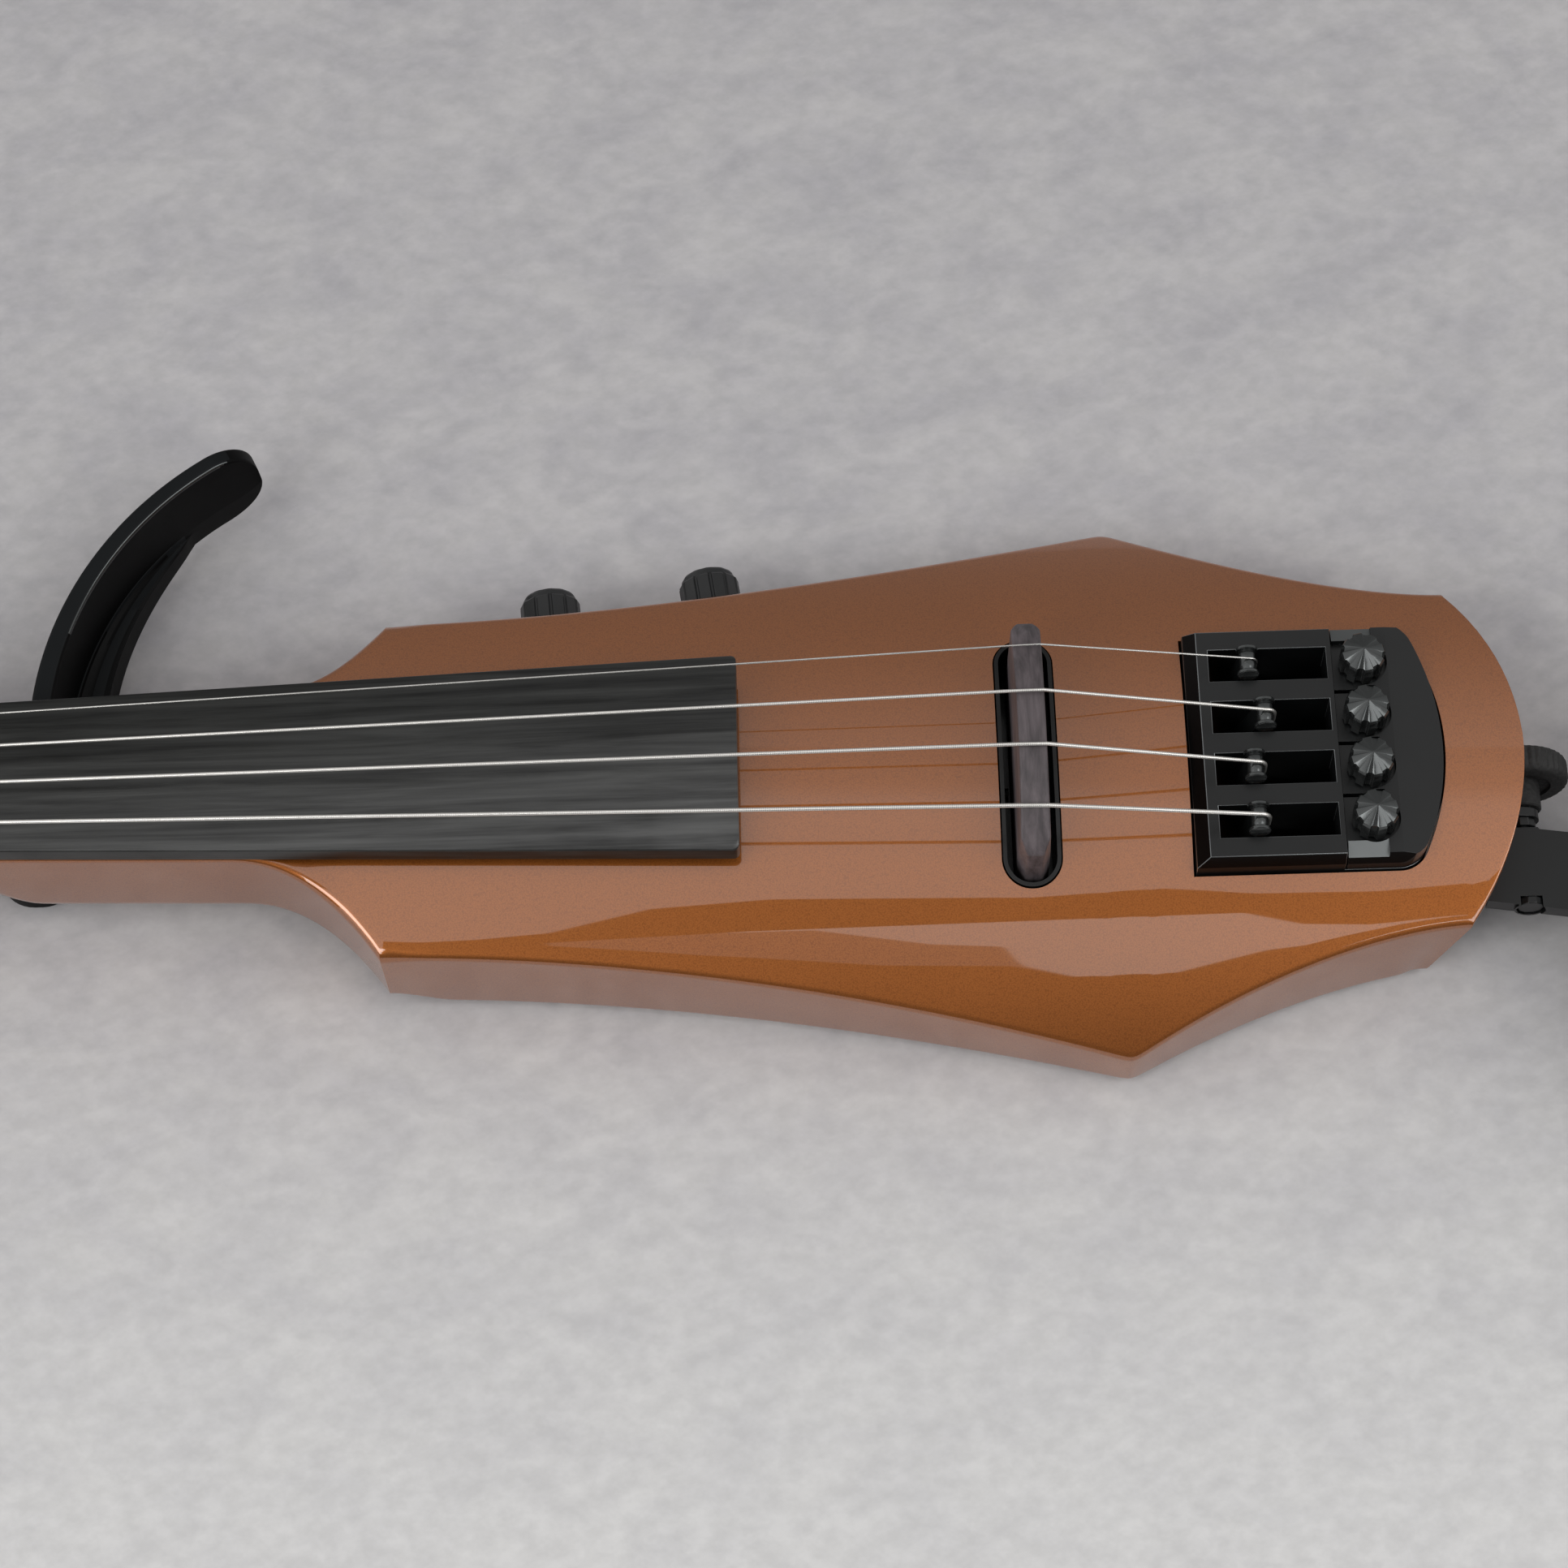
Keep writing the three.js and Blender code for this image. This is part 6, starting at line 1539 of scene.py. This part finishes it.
class VIOLIN_OT_rest_hinge(bpy.types.Operator):
    """Hinge bracket with its screws, the hinge pin and the thumb wheel at the tail"""
    bl_idname = "violin.rest_hinge"
    bl_label = "Rest hinge"

    def execute(self, context):
        tooth = ((0, 0), (0.5, WHEEL_TOOTH))
        bass, treble = WHEEL_BASS_Y, WHEEL_TREBLE_Y
        sections = [(inset, depth, bass + inward) for inset, depth, inward in WHEEL_SECTIONS]
        sections += [(inset, depth, treble - inward) for inset, depth, inward in reversed(WHEEL_SECTIONS)]
        rim = loft("thumb_wheel_dressed", [
            fluted(WHEEL_TEETH, tooth, WHEEL_RADIUS - inset, depth, "Y", (HINGE_X, y, HINGE_Z))
            for inset, depth, y in sections])
        end, edge = bass - HUB_LENGTH, 0.3
        profile = [(0, end), (HUB_RADIUS - edge, end), (HUB_RADIUS, end + edge), (HUB_RADIUS, bass + 2),
                   (0, bass + 2)]
        hub = turned("wheel_hub", profile, "Y", (HINGE_X, 0, HINGE_Z), 40)
        dish = rod("wheel_dish", "Y", HINGE_X, HINGE_Z, DISH_RADIUS, bass - 3, bass + DISH_DEPTH, 48)
        bore = rod("wheel_bore", "Y", HINGE_X, HINGE_Z, PIN_BORE_RADIUS, bass - 8, treble - 2.5, 32)
        carve(rim, dish)
        unite(rim, hub)
        carve(rim, bore)
        smooth(rim, 30)
        fit(rim, "wheel", material("knurled_rubber"), "rubber", "rest_thumb_wheel")
        polished("rest_hinge_pin", "wheel", material("satin_black"), "steel", 0.2)
        polished("rest_bracket", "frame", material("satin_black"), "satin_black", 0.3)
        for i in (1, 2):
            polished(f"rest_bracket_screw_{i}", "frame", material("bright_steel"), "steel", 0.2)
        return {"FINISHED"}


class VIOLIN_OT_rest_bar(bpy.types.Operator):
    """Flat bar that carries the chin and shoulder rests, with its posts and bolt"""
    bl_idname = "violin.rest_bar"
    bl_label = "Rest bar"

    def execute(self, context):
        bar = polished("rest_bar", "rest", material("satin_black"), "satin_black", 0.45)
        bar.modifiers.new("triangles", "TRIANGULATE")
        for i in (1, 2):
            polished(f"chin_rest_post_{i}", "rest", material("satin_black"), "satin_black", 0.25)
        polished("shoulder_swivel_bolt", "rest", material("bright_steel"), "steel", 0.25)
        return {"FINISHED"}


# Rings of the chin cup from its foot over the rim and down into the hollow: share of the size and height
CHIN_RINGS = (
    (0.3, 2.0), (0.66, 2.0), (0.86, 3.25), (0.96, 5.75), (1.0, 9.6), (0.995, 10.6), (0.97, 11.0),
    (0.93, 10.9), (0.9, 10.6), (0.7, 8.25), (0.4, 6.5), (0.1, 6.0))


class VIOLIN_OT_chin_rest(bpy.types.Operator):
    """Oval chin cup"""
    bl_idname = "violin.chin_rest"
    bl_label = "Chin rest"

    def execute(self, context):
        rings = []
        for share, z in CHIN_RINGS:
            ring = []
            for turn in spread(0, 2 * math.pi, 96):
                lobe = 1 + 0.08 * math.cos(2 * turn) - 0.06 * math.sin(turn)
                lift = 1 + 0.2 * math.cos(turn)
                ring.append((CHIN_X + CHIN_HALF_LENGTH * share * lobe * math.cos(turn),
                             CHIN_Y + CHIN_HALF_WIDTH * share * lobe * math.sin(turn),
                             CHIN_FOOT_Z + (z - CHIN_FOOT_Z) * lift))
            rings.append(ring)
        cup = loft("chin_rest_dressed", rings)
        smooth(cup, 60)
        fit(cup, "rest", material("black_plastic"), "black_plastic", "chin_rest")
        return {"FINISHED"}


class VIOLIN_OT_shoulder_rest(bpy.types.Operator):
    """Bowed shoulder rest with its foam pad"""
    bl_idname = "violin.shoulder_rest"
    bl_label = "Shoulder rest"

    def execute(self, context):
        polished("shoulder_frame", "shoulder_rest", material("satin_black"), "satin_black", 0.4)
        top = BAR_FOOT_Z - SWIVEL_FLANGE - SHOULDER_FRAME_THICK - SEAT
        middle = (KNUCKLE_TREBLE_Y + KNUCKLE_BASS_Y) / 2 + (SWIVEL_X - HINGE_X) * BAR_HEADING
        rings = []
        for i in range(41):
            share = mix(-1, 1, i / 40)
            x = SWIVEL_X - PAD_BOW * share * share + PAD_FORWARD
            wide = PAD_HALF_WIDTH * math.sqrt(1 - 0.72 * abs(share) ** 6)
            thick = PAD_THICK * (1 - 0.35 * max(abs(share) - 0.82, 0) / 0.18)
            ring = []
            for turn in spread(0, 2 * math.pi, 24):
                ahead, up = math.cos(turn), math.sin(turn)
                ring.append((
                    x + wide * math.copysign(abs(ahead) ** 0.45, ahead),
                    middle + share * PAD_REACH,
                    top - thick / 2 + thick / 2 * math.copysign(abs(up) ** 0.5, up)))
            rings.append(ring)
        pad = loft("shoulder_pad_dressed", rings)
        carve(pad, rod("pad_room", "Z", SWIVEL_X, middle, PAD_ROOM_RADIUS, top - PAD_ROOM_DEPTH, top + 3))
        smooth(pad, 50)
        fit(pad, "shoulder_rest", material("foam"), "foam", "shoulder_pad")
        return {"FINISHED"}


# What the lacquer mirrors: a place across the room, and how low in front the ceiling, the window
# and its brighter pane start or end there
ROOM_HALF = 0.2
CEILING_EDGE = (
    (-0.2, 0.62), (-0.15, 0.36), (-0.12, 0.32), (-0.1, 0.309), (-0.07, 0.28), (-0.045, 0.195),
    (-0.015, 0.17), (0.05, 0.194), (0.08, 0.172), (0.102, 0.204), (0.133, 0.209), (0.17, 0.17))
WINDOW_TOP = (
    (-0.07, 0.318), (-0.02, 0.297), (0.044, 0.289), (0.1, 0.28), (0.114, 0.33), (0.141, 0.345),
    (0.157, 0.336))
WINDOW_FOOT = (
    (-0.07, 0.34), (-0.02, 0.4), (0.012, 0.444), (0.044, 0.46), (0.059, 0.505), (0.083, 0.5),
    (0.105, 0.427), (0.138, 0.375), (0.157, 0.337))
PANE_FOOT = (
    (-0.005, 0.3), (0.024, 0.369), (0.042, 0.386), (0.046, 0.458), (0.059, 0.505), (0.083, 0.5),
    (0.157, 0.5))
WINDOW_MIDDLE = 0.043
WINDOW_HALF = 0.114
WINDOW_LIGHT = 0.35
PANE_LIGHT = 0.95
WALL_LIGHT = 0.06


def studio_room(ceiling):
    """A world with a pale ceiling, a window low in front and darker walls."""
    world = bpy.data.worlds.new("studio")
    world.use_nodes = True
    tree = world.node_tree
    link = tree.links.new

    def span(socket, low, high, to_low=0.0, to_high=1.0):
        made = tree.nodes.new("ShaderNodeMapRange")
        made.interpolation_type = "SMOOTHSTEP"
        ends = {"From Min": low, "From Max": high, "To Min": to_low, "To Max": to_high}
        for label, value in ends.items():
            made.inputs[label].default_value = value
        link(socket, made.inputs["Value"])
        return made.outputs["Result"]

    def line(points):
        made = tree.nodes.new("ShaderNodeFloatCurve")
        curve = made.mapping.curves[0]
        for i, (x, low) in enumerate(points):
            spot = ((x + ROOM_HALF) / (2 * ROOM_HALF), low)
            if i < 2:
                curve.points[i].location = spot
            else:
                curve.points.new(*spot)
        for point in curve.points:
            point.handle_type = "VECTOR"
        made.mapping.extend = "HORIZONTAL"
        made.mapping.update()
        link(across, made.inputs["Value"])
        return made.outputs["Value"]

    def times(a, b):
        return maths(tree, "MULTIPLY", a, b)

    def below(edge):
        return maths(tree, "LESS_THAN", front, line(edge))

    place = tree.nodes.new("ShaderNodeTexCoord")
    parts = tree.nodes.new("ShaderNodeSeparateXYZ")
    link(place.outputs["Generated"], parts.inputs["Vector"])
    aside = parts.outputs["X"]
    across = maths(tree, "MULTIPLY_ADD", aside, 0.5 / ROOM_HALF, 0.5)
    front = times(parts.outputs["Y"], -1.0)
    slant = maths(tree, "MULTIPLY_ADD", aside, -0.55, front)
    beam = times(span(slant, -0.335, -0.2, 0.64, 1.0), span(slant, -0.475, -0.455, 1.25, 1.0))
    over = times(times(beam, span(front, -1.0, -0.2, 0.32, 1.0)), below(CEILING_EDGE))
    off_middle = maths(tree, "ABSOLUTE", maths(tree, "SUBTRACT", aside, WINDOW_MIDDLE))
    inside = maths(tree, "LESS_THAN", off_middle, WINDOW_HALF)
    window = times(maths(tree, "GREATER_THAN", front, line(WINDOW_TOP)), inside)
    above_foot = below(WINDOW_FOOT)
    wide = times(above_foot, WINDOW_LIGHT)
    bright = times(times(below(PANE_FOOT), PANE_LIGHT), above_foot)
    lit = maths(tree, "MAXIMUM", over, times(window, maths(tree, "ADD", wide, bright)))
    level = maths(tree, "MULTIPLY_ADD", lit, ceiling, WALL_LIGHT)
    background = tree.nodes["Background"]
    background.inputs["Color"].default_value = (1.0, 0.99, 0.985, 1)
    link(level, background.inputs["Strength"])
    return world


# Soft lamps: place in metres, size and share of the power
LAMPS = {
    "soft_lamp_left": ((-1.0, -0.88, 1.25), 1.1, 0.97),
    "soft_lamp_right": ((1.15, -0.6, 1.3), 1.3, 0.9),
}
FLOOR_HALF = 3.0


class VIOLIN_OT_stage(bpy.types.Operator):
    """Floor, soft lamps, world and the camera at the photograph's angle"""
    bl_idname = "violin.stage"
    bl_label = "Stage"

    def execute(self, context):
        scene = context.scene
        settings = scene.violin_stage
        mesh = bpy.data.meshes.new("floor")
        corners = [(x * FLOOR_HALF, y * FLOOR_HALF, 0) for x, y in ((-1, -1), (1, -1), (1, 1), (-1, 1))]
        mesh.from_pydata(corners, [], [(0, 1, 2, 3)])
        floor = new_object("floor", mesh)
        mesh.materials.append(material("floor"))

        scene.world = studio_room(settings.ceiling)
        for name, (place, size, share) in LAMPS.items():
            lamp = bpy.data.lights.new(name, "AREA")
            lamp.shape = "RECTANGLE"
            lamp.size = lamp.size_y = size
            lamp.energy = settings.lamp_power * share
            lamp_object = new_object(name, lamp)
            lamp_object.location = place
            lamp_object.rotation_mode = "QUATERNION"
            lamp_object.rotation_quaternion = (-Vector(place)).to_track_quat("-Z", "Y")

        camera = bpy.data.cameras.new("camera")
        camera.sensor_width = CAMERA_SENSOR
        camera.lens = CAMERA_SENSOR * FOCAL_PIXELS / PHOTO_PIXELS
        camera.clip_start = 0.05
        camera_object = new_object("camera", camera)
        turn = Matrix((CAMERA_RIGHT, -CAMERA_DOWN, -CAMERA_AHEAD)).transposed()
        camera_object.rotation_mode = "QUATERNION"
        camera_object.rotation_quaternion = turn.to_quaternion()
        camera_object.location = at(*CAMERA_PLACE)
        scene.camera = camera_object
        scene.view_settings.view_transform = "Standard"
        return {"FINISHED"}


PIECES = (
    VIOLIN_OT_body, VIOLIN_OT_fingerboard, VIOLIN_OT_bridge, VIOLIN_OT_tuner_block,
    VIOLIN_OT_tuner_levers, VIOLIN_OT_tuner_knobs, VIOLIN_OT_strings, VIOLIN_OT_controls,
    VIOLIN_OT_electronics, VIOLIN_OT_position_arm, VIOLIN_OT_rest_hinge, VIOLIN_OT_rest_bar,
    VIOLIN_OT_chin_rest, VIOLIN_OT_shoulder_rest, VIOLIN_OT_stage,
)


class VIOLIN_PT_panel(bpy.types.Panel):
    """Sidebar panel with the settings and an operator for each piece"""
    bl_idname = "VIOLIN_PT_panel"
    bl_label = "Electric violin"
    bl_space_type = "VIEW_3D"
    bl_region_type = "UI"
    bl_category = "Violin"

    def draw(self, context):
        layout = self.layout
        for group in SETTINGS:
            box_layout = layout.box()
            values = getattr(context.scene, group)
            for label in SETTINGS[group].__annotations__:
                box_layout.prop(values, label)
        for operator in PIECES:
            layout.operator(operator.bl_idname)


SETTINGS = {
    "violin_body": ViolinBodySettings, "violin_fittings": ViolinFittingSettings,
    "violin_wood": ViolinWoodSettings, "violin_stage": ViolinStageSettings,
}


def register():
    for label, group in SETTINGS.items():
        bpy.utils.register_class(group)
        setattr(bpy.types.Scene, label, bpy.props.PointerProperty(type=group))
    for made in (*PIECES, VIOLIN_PT_panel):
        bpy.utils.register_class(made)


def unregister():
    for made in (VIOLIN_PT_panel, *reversed(PIECES)):
        bpy.utils.unregister_class(made)
    for label, group in reversed(SETTINGS.items()):
        delattr(bpy.types.Scene, label)
        bpy.utils.unregister_class(group)


def main():
    register()
    for operator in PIECES:
        area, verb = operator.bl_idname.split(".")
        getattr(getattr(bpy.ops, area), verb)()


if __name__ == "__main__":
    main()
